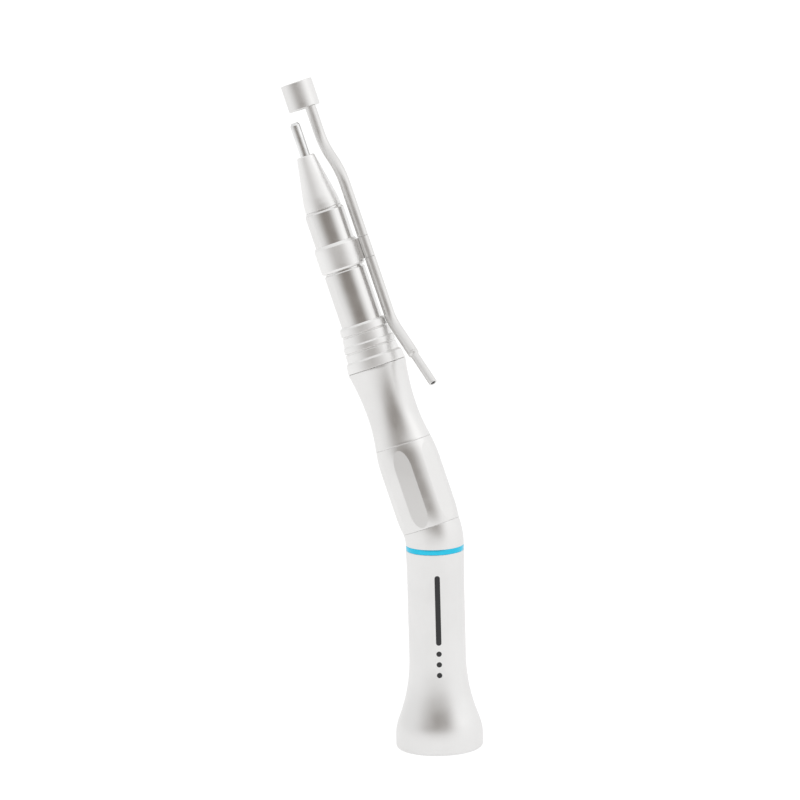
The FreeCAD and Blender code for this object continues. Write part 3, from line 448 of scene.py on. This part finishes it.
def soft_finish(name, color, roughness, grain_mm):
    """Rubber or plastic with a moulded grain."""
    material, shader = new_finish(name, color, 0.0, roughness)
    tree = material.node_tree
    grain_bump(tree, shader, grain_mm, 0.02, 0.35)
    tinted(tree, shader, color, 1.5, 3.0, 0.85)
    cloud = ramp(tree, object_noise(tree, 0.8, 2.0), 0.35, 0.65, -0.05, 0.05)
    tree.links.new(math_node(tree, "ADD", cloud, roughness, clamp=True), shader.inputs["Roughness"])
    return material


SATIN = (0.845, 0.838, 0.830)
BRIGHT = (0.910, 0.904, 0.897)
SLEEVE = (0.850, 0.844, 0.838)
STEEL = (0.800, 0.792, 0.782)

# A bar and three dots on the rear sleeve: place aside, height, half width and half height.
MARK_FACING, MARK_ASIDE, MARK_HALF = 29.8, 0.3, 0.62
INDEX_MARKS = [(MARK_ASIDE, 33.6, MARK_HALF, 8.2)]
INDEX_MARKS += [(MARK_ASIDE, height, MARK_HALF, MARK_HALF) for height in (23.4, 20.9, 18.4)]

# Outside, roughness stays clear of 0.27: a finish that varies across it renders speckled.
shell_finish = blasted_metal("satin_shell", SATIN, 0.31, wear=0.0)
tube_body_finish = blasted_metal("satin_front_tube", SATIN, 0.23, strength=0.06, wear=0.05)
coarse_finish = blasted_metal("satin_ribbed", BRIGHT, 0.43, strength=0.10, wear=0.12, speck=0.015)
nose_finish = blasted_metal("satin_nose", BRIGHT, 0.42)
spray_finish = blasted_metal("satin_spray_ring", SATIN, 0.34)
sleeve_finish = marked_metal("satin_rear_sleeve", SLEEVE, 0.34, INDEX_MARKS)
tube_finish = blasted_metal("satin_water_tube", STEEL, 0.37, 0.10, 0.12, 0.03)
bur_finish = turned_metal("polished_shank", (0.90, 0.90, 0.90), 0.19, 0.12, 0.08)

FINISH_OF_SLOT = {
    "satin_steel": shell_finish,
    "ring_blue": blue_enamel(),
    "tube_steel": tube_finish,
    "polished_steel": bur_finish,
    "liner_steel": turned_metal("turned_liner", (0.60, 0.60, 0.60), 0.26),
    "tool_steel": turned_metal("ground_tool_steel", (0.46, 0.46, 0.47), 0.24, 0.07),
    "bearing_steel": turned_metal("bearing_steel", (0.62, 0.62, 0.64), 0.12, 0.05, 0.1),
    "seal_rubber": soft_finish("seal_rubber", (0.03, 0.03, 0.033), 0.55, 0.2),
    "seal_plastic": soft_finish("seal_plastic", (0.80, 0.78, 0.72), 0.42, 0.25),
}


def stand_for(piece, node, finish=None):
    """Let a detailed piece take the place of a CAD node: its body, its slot and its finish."""
    piece.data.materials.append(finish or FINISH_OF_SLOT[SLOT_OF[node]])
    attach(piece, BODY_OF[node])
    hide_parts(node)
    return piece


# ---------------------------------------------------------------- lower shells

def make_rear_sleeve():
    """Flared sleeve: rolled rim, flare and straight handle, with the coupling mouth below."""
    foot, top, core, rim = LOWER.extent("rear_sleeve")
    handle, swell, mouth, mouth_top = 6.55, 38.0, 8.0, 7.5
    turn_radius, turn_height, flare_end = 9.33, 6.9, 21.4
    handle_top = LOWER.extent("colour_ring")[3]
    outline = [(mouth, foot, 0.25), (rim, foot, 1.25), (rim, 2.4)]
    outline += bowed((rim, 2.9), (turn_radius, turn_height), "start")
    outline += bowed((turn_radius, turn_height), (handle, flare_end), "end", 28)[1:]
    outline += evenly(handle, flare_end + 1.0, swell, 4.0)
    outline += bowed((handle, swell), (handle_top, top - 0.4), "start", 8)[1:]
    outline += [(handle_top, top, 0.1), (core, top), (core, mouth_top + 1.0, 0.1)]
    outline += [(mouth - 1.0, mouth_top + 1.0, 0.1), (mouth, mouth_top, 0.1)]
    sleeve = turned("flared_rear_sleeve", LOWER, rounded(outline))
    stand_for(sleeve, "rear_sleeve", sleeve_finish)


def make_colour_ring():
    """Marker ring, slightly crowned."""
    foot, top, core, face = LOWER.extent("colour_ring")
    crown = 0.05
    lip = face - crown - 0.06
    middle = (foot + top) / 2
    half = (top - foot) / 2
    steps = 6
    outline = [(core, foot), (lip, foot, 0.05)]
    for step in range(-steps, steps + 1):
        share = step / steps
        outline.append((face - crown * share * share, middle + (half - 0.07) * share))
    outline += [(lip, top, 0.05), (core, top)]
    stand_for(turned("blue_marker_ring", LOWER, rounded(outline)), "colour_ring")


def make_elbow():
    """Bent housing with its two necks, one in the rear sleeve and one in the grip."""
    ring_top = LOWER.extent("colour_ring")[1]
    neck_foot = LOWER.extent("elbow_housing")[0]
    neck_radius = LOWER.extent("colour_ring")[2]
    joint = UPPER.extent("grip_sleeve")[0]
    neck_top, bore, upper_neck, face = 6.0, 5.1, 5.7, 6.7
    lean = LOWER.along.angle(LEAN)
    reach = BEND_POINT.z - ring_top
    bend_radius = reach / math.tan(lean / 2)
    corners = [LOWER.at(0, 0, neck_foot), BEND_POINT, UPPER.at(0, 0, neck_top)]
    route = Route(corners, [bend_radius], LOWER.side)
    first = ring_top - neck_foot
    last = route.length - (neck_top - joint)
    outline = [(bore, 0.0), (neck_radius, 0.0), (neck_radius, first), (face, first, 0.12)]
    outline += evenly(face, first + 0.35, last - 0.35, 0.3)
    outline += [(face, last, 0.14), (upper_neck, last), (upper_neck, route.length), (bore, route.length)]
    outline += evenly(bore, route.length - 0.3, 0.3, 0.4)
    stand_for(turned("bent_elbow_housing", route, rounded(outline)), "elbow_housing")


# ---------------------------------------------------------------- upper shells

def make_grip():
    """Barrel-shaped grip whose flats round off where the barrel tapers below them."""
    foot, top, bore, full = UPPER.extent("grip_sleeve")
    edge, swell, fall, top_radius, neck, neck_top = 6.68, 6.6, 17.0, 6.56, 5.7, 6.0
    flat_distance, flat_count, flat_turn = 6.73, 6, math.radians(-13.9)
    widest = math.acos(flat_distance / full)

    def end_rows(level, end_radius, end, steps=22):
        """Rows over one tapering end, closer together where the flats round off."""
        run, drop = abs(end - level), full - end_radius
        bow = (drop * drop + run * run) / (2 * drop)
        sign = math.copysign(1.0, end - level)
        rows = []
        for step in range(steps + 1):
            half = widest * math.cos(step / steps * math.pi / 2)
            rows.append(flat_distance / math.cos(half))
        last = rows[-1]
        rows += [last + (end_radius - last) * share for share in (0.25, 0.5, 0.8)]
        places = []
        for radius in rows:
            inset = full - radius
            away = math.sqrt(max(0.0, 2 * bow * inset - inset ** 2))
            places.append((radius, level + sign * away))
        return places

    outline = [(neck, foot), (edge, foot, 0.13)] + end_rows(swell, edge, foot)[::-1]
    outline += evenly(full, swell + 0.8, fall - 0.8, 2.0)
    outline += end_rows(fall, top_radius, top) + [(top_radius, top, 0.42)]
    outline += [(bore, top), (bore, neck_top), (neck, neck_top)]
    per_flat, per_round, least = 10, 18, 0.004
    points, rings = [], []
    for radius, height in rounded(outline):
        ring = []
        half = max(least, math.acos(min(1.0, flat_distance / radius)))
        for flat in range(flat_count):
            centre = flat_turn + math.tau * flat / flat_count
            turns = [half * (2 * step / per_flat - 1) for step in range(per_flat)]
            gap = math.tau / flat_count - 2 * half
            turns += [half + gap * step / per_round for step in range(per_round)]
            for turn in turns:
                cut_radius = min(radius, flat_distance / math.cos(turn)) if turn <= half else radius
                ring.append(len(points))
                points.append(UPPER.at(cut_radius, centre + turn, height))
        rings.append(ring)
    grip = new_piece("barrel_grip", points, join_rings(rings, True))
    crease_flats(grip, foot + 0.25, top - 0.25)
    stand_for(grip, "grip_sleeve")


def crease_flats(grip, low, high):
    """Keep the flats' edges crisp between two heights."""
    least_angle = math.radians(5.0)
    form = bmesh.new()
    form.from_mesh(grip.data)
    for edge in form.edges:
        middle = (edge.verts[0].co + edge.verts[1].co) / 2 / MM - UPPER.origin
        if low < middle.dot(UPPER.along) < high and edge.calc_face_angle(0.0) > least_angle:
            edge.smooth = False
    form.to_mesh(grip.data)
    form.free()


def make_waist():
    """Waisted sleeve between the grip and the chuck ring."""
    foot, top, bore, flared = UPPER.extent("waist_sleeve")
    narrow, height, foot_radius = 5.8, 30.2, 6.54
    outline = [(bore, foot), (foot_radius + 0.02, foot, 0.13)]
    outline += bowed((foot_radius, foot + 0.3), (narrow, height), "end", 20)
    outline += bowed((narrow, height), (flared, top - 0.2), "start", 24)[1:]
    outline += [(flared, top, 0.12), (bore, top)]
    stand_for(turned("waisted_sleeve", UPPER, rounded(outline)), "waist_sleeve")


def make_front_tube():
    """Front tube in two diameters, with the windows for the chuck's cam pins."""
    foot, top, _, foot_radius = UPPER.extent("front_housing")
    barrel, nose_tube, step, bore, narrow_bore = 4.85, 4.62, 64.2, 4.25, 3.5
    groove, end_land = 0.15, nose_tube - 0.3
    seat, seat_foot, narrow_foot = 4.0, 73.0, 60.0
    shoulder = UPPER.extent("waist_sleeve")[1]
    outline = [(bore, foot), (foot_radius, foot, 0.1), (foot_radius, shoulder), (barrel, shoulder)]
    outline += evenly(barrel, shoulder + 0.5, step - 0.6, 3.0)
    outline += [(barrel, step - 0.25, 0.06), (barrel - groove, step, 0.05)]
    outline += [(nose_tube - groove, step, 0.03), (nose_tube - groove, step + 0.35, 0.03)]
    outline += [(nose_tube, step + 0.5, 0.05)]
    outline += evenly(nose_tube, step + 0.9, top - 1.0, 3.0)
    outline += [(nose_tube, top - 0.65, 0.1), (end_land, top - 0.25, 0.05), (end_land, top, 0.03)]
    outline += [(seat, top), (seat, seat_foot), (narrow_bore, seat_foot)]
    outline += [(narrow_bore, narrow_foot), (bore, narrow_foot - 1.0)]
    tube = turned("front_tube", UPPER, rounded(outline))
    turn_limit = math.radians(JOINTS["chuck_twist"]["range_deg"][1])
    pin, window_height, room_aside, room_along = 0.5, 45.0, 0.13, 0.08
    reach = barrel * math.sin(turn_limit / 2) + pin + room_aside
    window_axis = UPPER.moved(facing=turn_limit / 2)
    half = pin + room_along
    cut(tube, window_axis, reach, window_height - half, window_height + half, barrel + 1.0)
    stand_for(tube, "front_housing", tube_body_finish)


def make_nose():
    """Nose cone with its land, its long taper and its rolled tip."""
    foot, top, bore, land = UPPER.extent("nose_cone")
    seat, shoulder, taper, tip, cavity, cavity_top = 4.0, 79.2, 81.8, 2.10, 2.7, 84.6
    cavity_foot, bend = cavity + 0.4, 8.0
    outline = [(cavity_foot, foot), (seat, foot, 0.1), (seat, shoulder), (land, shoulder, 0.1)]
    outline += [(land - 0.07, shoulder + 1.2, bend), (land - 0.24, taper, bend), (tip, top, 0.30)]
    outline += [(bore, top, 0.12), (bore, cavity_top + 1.8), (cavity, cavity_top)]
    outline += [(cavity, foot + 1.5), (cavity_foot, foot + 1.2)]
    stand_for(turned("tapered_nose_cone", UPPER, rounded(outline)), "nose_cone", nose_finish)


def make_bur():
    """Dummy bur: straight polished shank with a stepped, rounded tip."""
    tail, tip, _, radius = UPPER.extent("dummy_bur")
    outline = [(0.0, tail), (radius - 0.3, tail, 0.1), (radius, tail + 0.3, 0.1)]
    outline += evenly(radius, tail + 1.0, tip - 1.0, 4.0)
    outline += [(radius, tip - 0.62, 0.2), (radius - 0.34, tip - 0.12, 0.12)]
    outline += [(radius - 0.55, tip, 0.1), (0.0, tip)]
    shank = turned("bur_shank", UPPER, rounded(outline, closed=False), closed=False, segments=72)
    stand_for(shank, "dummy_bur")


# ---------------------------------------------------------------- chuck ring

def make_chuck_ring():
    """Ribbed ring: three steps that end in a chamfer, with a groove before the next step."""
    foot, top, bore, _ = UPPER.extent("chuck_ring")
    # Radius, height above the foot and fillet of each corner. Lines are steps and grooves in turn.
    ribs = [(6.73, 0.0, 0.05), (6.88, 0.15, 0.08), (6.62, 2.15, 0.06), (6.16, 2.6, 0.05),
            (6.10, 4.3, 0.06), (5.82, 4.4, 0.04), (5.82, 4.65, 0.04),
            (6.12, 4.8, 0.06), (6.04, 5.9, 0.06), (5.74, 6.25, 0.05),
            (5.62, 8.15, 0.06), (5.34, 8.25, 0.04), (5.34, 8.5, 0.04),
            (5.66, 8.65, 0.06), (5.54, 10.1, 0.05)]
    outline = [(bore, foot)] + [(radius, foot + rise, fillet) for radius, rise, fillet in ribs]
    outline += [(5.22, top, 0.06), (bore, top)]
    stand_for(turned("ribbed_chuck_ring", UPPER, rounded(outline)), "chuck_ring", coarse_finish)


# ---------------------------------------------------------------- water line

SWING = JOINTS["nozzle_swing"]
SWING_OFFSET = Vector(SWING["pos_m"]) / MM - UPPER.origin
TUBE_AZIMUTH = math.atan2(SWING_OFFSET.dot(UPPER.side), SWING_OFFSET.dot(UPPER.across))
TUBE_DISTANCE = math.hypot(SWING_OFFSET.dot(UPPER.side), SWING_OFFSET.dot(UPPER.across))
IN_USE = TUBE_AZIMUTH - math.radians(SWING["range_deg"][1])
TUBE = UPPER.moved(TUBE_DISTANCE, TUBE_AZIMUTH, IN_USE)


def make_clip():
    """Clip ring on the front tube, and the open hook that holds the water tube."""
    axis = UPPER.moved(facing=TUBE_AZIMUTH)
    foot, top, bore, _ = axis.extent("clip_ring")
    outer, hook_foot, hook_top = 5.2, 65.4, 70.4
    outline = [(bore, foot, 0.1), (outer - 0.3, foot, 0.15), (outer, foot + 0.45, 0.3)]
    outline += evenly(outer, foot + 1.2, top - 1.5, 1.2)
    outline += [(outer, top - 0.75, 0.4), (outer - 0.38, top, 0.2), (bore, top, 0.1)]
    stand_for(turned("clip_ring_band", axis, rounded(outline)), "clip_ring", coarse_finish)
    wall, hollow, half_web = 1.25, 0.98, 0.8
    arc_start, arc_end = math.radians(-218.0), math.radians(24.0)
    steps = 30
    outline = []
    for radius, start, end in ((wall, arc_start, arc_end), (hollow, arc_end, arc_start)):
        for step in range(steps + 1):
            turn = start + (end - start) * step / steps
            outline.append((TUBE_DISTANCE + radius * math.cos(turn), radius * math.sin(turn)))
    hook = extruded("clip_hook", axis, outline, hook_foot, hook_top, 0.08)
    hook.data.materials.append(tube_finish)
    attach(hook, BODY_OF["clip_ring"])
    web_start, web_end = bore + 0.25, TUBE_DISTANCE - hollow - 0.1
    web = [(web_start, -half_web), (web_end, -half_web), (web_end, half_web), (web_start, half_web)]
    block = extruded("clip_web", axis, web, hook_foot + 0.05, hook_top - 0.05, 0.08)
    block.data.materials.append(tube_finish)
    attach(block, BODY_OF["clip_ring"])


def make_water_tube():
    """Bent water tube with its soldered end at the spray ring and its step for the hose."""
    bend, radius, outer, bore = math.radians(30.0), 12.0, 1.25, 0.55
    front_shift, front_corner, rear_corner, rear_radius, rear_end = 4.0, 86.2, 50.0, 9.0, 41.5
    neck, neck_foot, neck_top = 0.95, 65.35, 70.45
    spray_foot = TUBE.extent("spray_ring")[0]

    def place(across, height):
        return TUBE.origin + TUBE.across * across + TUBE.along * height

    out = (rear_corner - rear_end) * math.tan(bend)
    front_rise = front_shift / math.tan(bend)
    corners = [place(out, rear_end), place(0.0, rear_corner), place(0.0, front_corner),
               place(-front_shift, front_corner + front_rise), place(-front_shift, spray_foot)]
    route = Route(corners, [rear_radius, radius, radius], TUBE.side)
    rear_joint = route.joints()[2]
    straight_foot = rear_corner + rear_radius * math.tan(bend / 2)

    def length_at(height):
        """Length along the route of a height on the tube's straight run."""
        return rear_joint + height - straight_foot

    outline = [(bore, 0.0, 0.1), (outer, 0.0, 0.15)] + evenly(outer, 0.6, length_at(neck_foot) - 0.4, 0.5)
    outline += [(outer, length_at(neck_foot), 0.06), (neck, length_at(neck_foot), 0.06)]
    outline += [(neck, length_at(neck_top), 0.06), (outer, length_at(neck_top), 0.06)]
    outline += evenly(outer, length_at(neck_top) + 0.4, route.length, 0.5)
    outline += evenly(bore, route.length, 0.6, 0.8)
    stand_for(turned("bent_water_tube", route, rounded(outline), segments=56), "water_tube")
    spigot = Axis(corners[0], corners[0] - corners[1], TUBE.side.cross(corners[0] - corners[1]))
    foot, end, _, _ = spigot.extent("hose_barb")
    thin = 0.95
    outline = [(bore, foot), (outer, foot, 0.08), (outer, foot + 0.35, 0.08), (thin, foot + 0.75, 0.1)]
    outline += evenly(thin, foot + 1.2, end - 0.6, 2.0) + [(thin, end, 0.14), (bore, end, 0.08)]
    stand_for(turned("hose_spigot", spigot, rounded(outline), segments=56), "hose_barb")


def make_spray_ring():
    """Spray ring round the bur: the CAD insert inside it carries the spray holes."""
    axis = TUBE.moved(TUBE_DISTANCE, math.pi)
    foot, top, inner, outer = axis.extent("spray_ring")
    channel, channel_foot, channel_top = 3.1, top - 3.6, top - 1.6
    outline = [(inner, foot), (outer, foot, 0.24)] + evenly(outer, foot + 0.7, top - 0.6, 1.0)
    outline += [(outer, top, 0.16), (inner, top), (inner, channel_top), (channel, channel_top),
                (channel, channel_foot), (inner, channel_foot)]
    stand_for(turned("spray_ring_shell", axis, rounded(outline)), "spray_ring", spray_finish)


make_rear_sleeve()
make_colour_ring()
make_elbow()
make_grip()
make_waist()
make_front_tube()
make_nose()
make_bur()
make_chuck_ring()
make_clip()
make_water_tube()
make_spray_ring()

for node, piece in frame["nodes"].items():
    piece.data.materials.clear()
    piece.data.materials.append(FINISH_OF_SLOT[SLOT_OF[node]])


# ---------------------------------------------------------------- springs

def make_spring(name, node, axis, turns, wire):
    """Spring with closed ends. `wire` is a radius."""
    foot, top, _, outer = axis.extent(node)
    free_length = top - foot
    coil_radius = outer - wire
    closed_turns, steps_a_turn, around = 1.0, 28, 12
    rise = free_length - 2 * wire
    steps = math.ceil((turns + 2 * closed_turns) * steps_a_turn)
    points, rings = [], []
    for step in range(steps + 1):
        turn = math.tau * step / steps_a_turn
        share = min(1.0, max(0.0, (step / steps_a_turn - closed_turns / 2) / (turns + closed_turns)))
        height = foot + wire + rise * share
        rings.append(list(range(len(points), len(points) + around)))
        for index in range(around):
            angle = math.tau * index / around
            radius, lift = coil_radius + wire * math.cos(angle), wire * math.sin(angle)
            points.append(axis.at(radius, turn, height + lift))
    faces = join_rings(rings, False) + [rings[0][::-1], rings[-1]]
    spring = stand_for(new_piece(name, points, faces, 60.0), node)
    anchor = axis.at(0.0, 0.0, top)
    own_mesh(spring)


make_spring("dog_spring_coil", "dog_spring", LOWER, 1.6, 0.13)
make_spring("collet_spring_coil", "collet_spring", UPPER, 3.4, 0.25)


# ---------------------------------------------------------------- studio

CAMERA_AZIMUTH, CAMERA_ELEVATION, CAMERA_ROLL = 29.777, 11.464, -1.507
CAMERA_DISTANCE, CAMERA_LENS = 1500.0, 294.5
CAMERA_TARGET = (-8.2, 0.0, 80.97)

# Brightness of the room at the camera's left and right. The card's edges are azimuths from the
# camera's in degrees and heights in millimetres, each with the half width of its soft edge.
ROOM_LEFT, ROOM_RIGHT = 0.86, 1.0
CARD_RADIUS = 270.0
CARD_LEFT, CARD_LEFT_SOFT = -50.0, 36.0
CARD_RIGHT, CARD_RIGHT_SOFT = 37.0, 24.0
CARD_FOOT, CARD_FOOT_SOFT = 68.0, 34.0
CARD_TOP, CARD_TOP_SOFT = 250.0, 45.0
CARD_SHADE = (0.250, 0.228, 0.208)
KEY_AZIMUTH, KEY_ELEVATION, KEY_DISTANCE, KEY_SIZE = 75.0, 42.0, 1200.0, 900.0
KEY_RADIANCE = 0.16
FLOOR_GLOW, FLOOR_GLOW_SEEN = 0.73, 0.90

# Half width, foot, top and softness of the grey patch behind the object, in degrees.
BACK_CARD = (20.0, 0.0, 60.0, 9.0)
BACK_SHADE = (0.42, 0.40, 0.38, 1.0)


def towards(azimuth, elevation):
    """The direction from the object to a place at an azimuth and an elevation."""
    level = math.cos(elevation)
    return Vector((math.sin(azimuth) * level, -math.cos(azimuth) * level, math.sin(elevation)))


def add_floor():
    """Plain floor that glows: white to the camera, a little darker to everything else."""
    half = 6.0
    corners = [(-half, -half, 0.0), (half, -half, 0.0), (half, half, 0.0), (-half, half, 0.0)]
    mesh = bpy.data.meshes.new("studio_floor")
    mesh.from_pydata(corners, [], [[0, 1, 2, 3]])
    floor = bpy.data.objects.new("studio_floor", mesh)
    bpy.context.scene.collection.objects.link(floor)
    material, shader = new_finish("pale_floor", (0.25, 0.25, 0.25), 0.0, 0.9)
    shader.inputs["Specular IOR Level"].default_value = 0.0
    shader.inputs["Emission Color"].default_value = (1.0, 1.0, 1.0, 1.0)
    tree = material.node_tree
    seen = add_node(tree, "ShaderNodeLightPath").outputs["Is Camera Ray"]
    glow = math_node(tree, "MULTIPLY_ADD", seen, FLOOR_GLOW_SEEN - FLOOR_GLOW, FLOOR_GLOW)
    tree.links.new(glow, shader.inputs["Emission Strength"])
    mesh.materials.append(material)


def smooth_step(value, low, high):
    """Goes smoothly from 0 to 1 while the value goes from low to high."""
    share = min(1.0, max(0.0, (value - low) / (high - low)))
    return share * share * (3.0 - 2.0 * share)


def add_card():
    """Curved dark card in front of the object that only its reflections show, soft at its edges."""
    left, right = CARD_LEFT - CARD_LEFT_SOFT, CARD_RIGHT + CARD_RIGHT_SOFT
    foot, top = CARD_FOOT - CARD_FOOT_SOFT, CARD_TOP + CARD_TOP_SOFT
    across_count, up_count = 74, 40
    points, shades, faces = [], [], []
    for row in range(up_count + 1):
        height = foot + (top - foot) * row / up_count
        level = smooth_step(height, foot, CARD_FOOT + CARD_FOOT_SOFT)
        level *= 1.0 - smooth_step(height, CARD_TOP - CARD_TOP_SOFT, top)
        for column in range(across_count + 1):
            away = left + (right - left) * column / across_count
            azimuth = math.radians(CAMERA_AZIMUTH + away)
            side, front = CARD_RADIUS * math.sin(azimuth), -CARD_RADIUS * math.cos(azimuth)
            points.append((side * MM, front * MM, height * MM))
            dark = level * smooth_step(away, left, CARD_LEFT + CARD_LEFT_SOFT)
            dark *= 1.0 - smooth_step(away, CARD_RIGHT - CARD_RIGHT_SOFT, right)
            room = room_level(azimuth)
            shades.append([room + (shade - room) * dark for shade in CARD_SHADE])
    width = across_count + 1
    for row in range(up_count):
        for column in range(across_count):
            corner = row * width + column
            faces.append([corner, corner + 1, corner + width + 1, corner + width])
    mesh = bpy.data.meshes.new("dark_card")
    mesh.from_pydata(points, [], faces)
    attribute = mesh.attributes.new("shade", "FLOAT_COLOR", "POINT")
    for item, shade in zip(attribute.data, shades):
        item.color = (*shade, 1.0)
    card = bpy.data.objects.new("dark_card", mesh)
    bpy.context.scene.collection.objects.link(card)
    material = bpy.data.materials.new("dark_card")
    material.use_nodes = True
    tree = material.node_tree
    shade = add_node(tree, "ShaderNodeAttribute", attribute_name="shade").outputs["Color"]
    glow = add_node(tree, "ShaderNodeEmission", {"Color": shade})
    output = tree.nodes["Material Output"]
    tree.links.new(glow.outputs[0], output.inputs["Surface"])
    mesh.materials.append(material)
    card.visible_camera = False
    card.visible_diffuse = False
    card.visible_shadow = False


def add_key_light():
    """Large soft light above and to the camera's right."""
    away = towards(math.radians(CAMERA_AZIMUTH + KEY_AZIMUTH), math.radians(KEY_ELEVATION))
    data = bpy.data.lights.new("key_softbox", "AREA")
    data.shape = "DISK"
    data.size = KEY_SIZE * MM
    data.energy = KEY_RADIANCE * math.pi * math.pi * (KEY_SIZE * MM / 2) ** 2
    light = bpy.data.objects.new("key_softbox", data)
    bpy.context.scene.collection.objects.link(light)
    light.location = away * KEY_DISTANCE * MM
    light.rotation_euler = away.to_track_quat("Z", "Y").to_euler()
    light.visible_camera = False


def room_level(azimuth):
    """Brightness of the white room, which falls off a little to the camera's left."""
    turn = azimuth - math.radians(CAMERA_AZIMUTH)
    return (ROOM_LEFT + ROOM_RIGHT) / 2 + (ROOM_RIGHT - ROOM_LEFT) / 2 * math.sin(turn)


def add_room():
    """White room. Only reflections show its soft grey patch behind the object."""
    world = bpy.data.worlds.new("studio")
    bpy.context.scene.world = world
    world.use_nodes = True
    tree = world.node_tree
    background = tree.nodes["Background"]
    direction = add_node(tree, "ShaderNodeTexCoord").outputs["Generated"]
    inputs = {"Vector": direction, "Axis": (0, 0, 1), "Angle": -math.radians(CAMERA_AZIMUTH)}
    facing = add_node(tree, "ShaderNodeVectorRotate", inputs, rotation_type="AXIS_ANGLE")
    parts = add_node(tree, "ShaderNodeSeparateXYZ", {0: facing.outputs[0]})
    ahead = math_node(tree, "MULTIPLY", parts.outputs["Y"], -1.0)
    azimuth = math_node(tree, "ARCTAN2", parts.outputs["X"], ahead)
    swing, middle = (ROOM_RIGHT - ROOM_LEFT) / 2, (ROOM_RIGHT + ROOM_LEFT) / 2
    level = math_node(tree, "MULTIPLY_ADD", math_node(tree, "SINE", azimuth), swing, middle)
    white = add_node(tree, "ShaderNodeCombineXYZ", {0: level, 1: level, 2: level}).outputs[0]
    half_width, low, high, soft = [math.radians(angle) for angle in BACK_CARD]
    elevation = math_node(tree, "ARCSINE", parts.outputs["Z"])
    behind = math_node(tree, "SUBTRACT", math.pi, math_node(tree, "ABSOLUTE", azimuth))
    side = ramp(tree, behind, half_width - soft, half_width + soft, 1.0, 0.0)
    above = ramp(tree, elevation, low, low + 2 * soft, 0.0, 1.0)
    below = ramp(tree, elevation, high - 2 * soft, high, 1.0, 0.0)
    back = math_node(tree, "MULTIPLY", math_node(tree, "MULTIPLY", side, above), below)
    room = mixed(tree, back, white, BACK_SHADE)
    seen = add_node(tree, "ShaderNodeLightPath").outputs["Is Camera Ray"]
    tree.links.new(mixed(tree, seen, room, (1.0, 1.0, 1.0, 1.0)), background.inputs["Color"])
    background.inputs["Strength"].default_value = 1.0


def add_camera():
    """Camera in front and a little to the right, slightly above, with a long lens."""
    away = towards(math.radians(CAMERA_AZIMUTH), math.radians(CAMERA_ELEVATION))
    data = bpy.data.cameras.new("camera")
    data.lens = CAMERA_LENS
    data.sensor_width = 36.0
    data.clip_start = 0.05
    camera = bpy.data.objects.new("camera", data)
    bpy.context.scene.collection.objects.link(camera)
    facing = away.to_track_quat("Z", "Y").to_matrix().to_4x4()
    facing.translation = (Vector(CAMERA_TARGET) + away * CAMERA_DISTANCE) * MM
    camera.matrix_world = facing
    camera.rotation_euler.rotate_axis("Z", math.radians(CAMERA_ROLL))
    bpy.context.scene.camera = camera


add_floor()
add_card()
add_key_light()
add_room()
add_camera()
bpy.context.scene.view_settings.view_transform = "Standard"
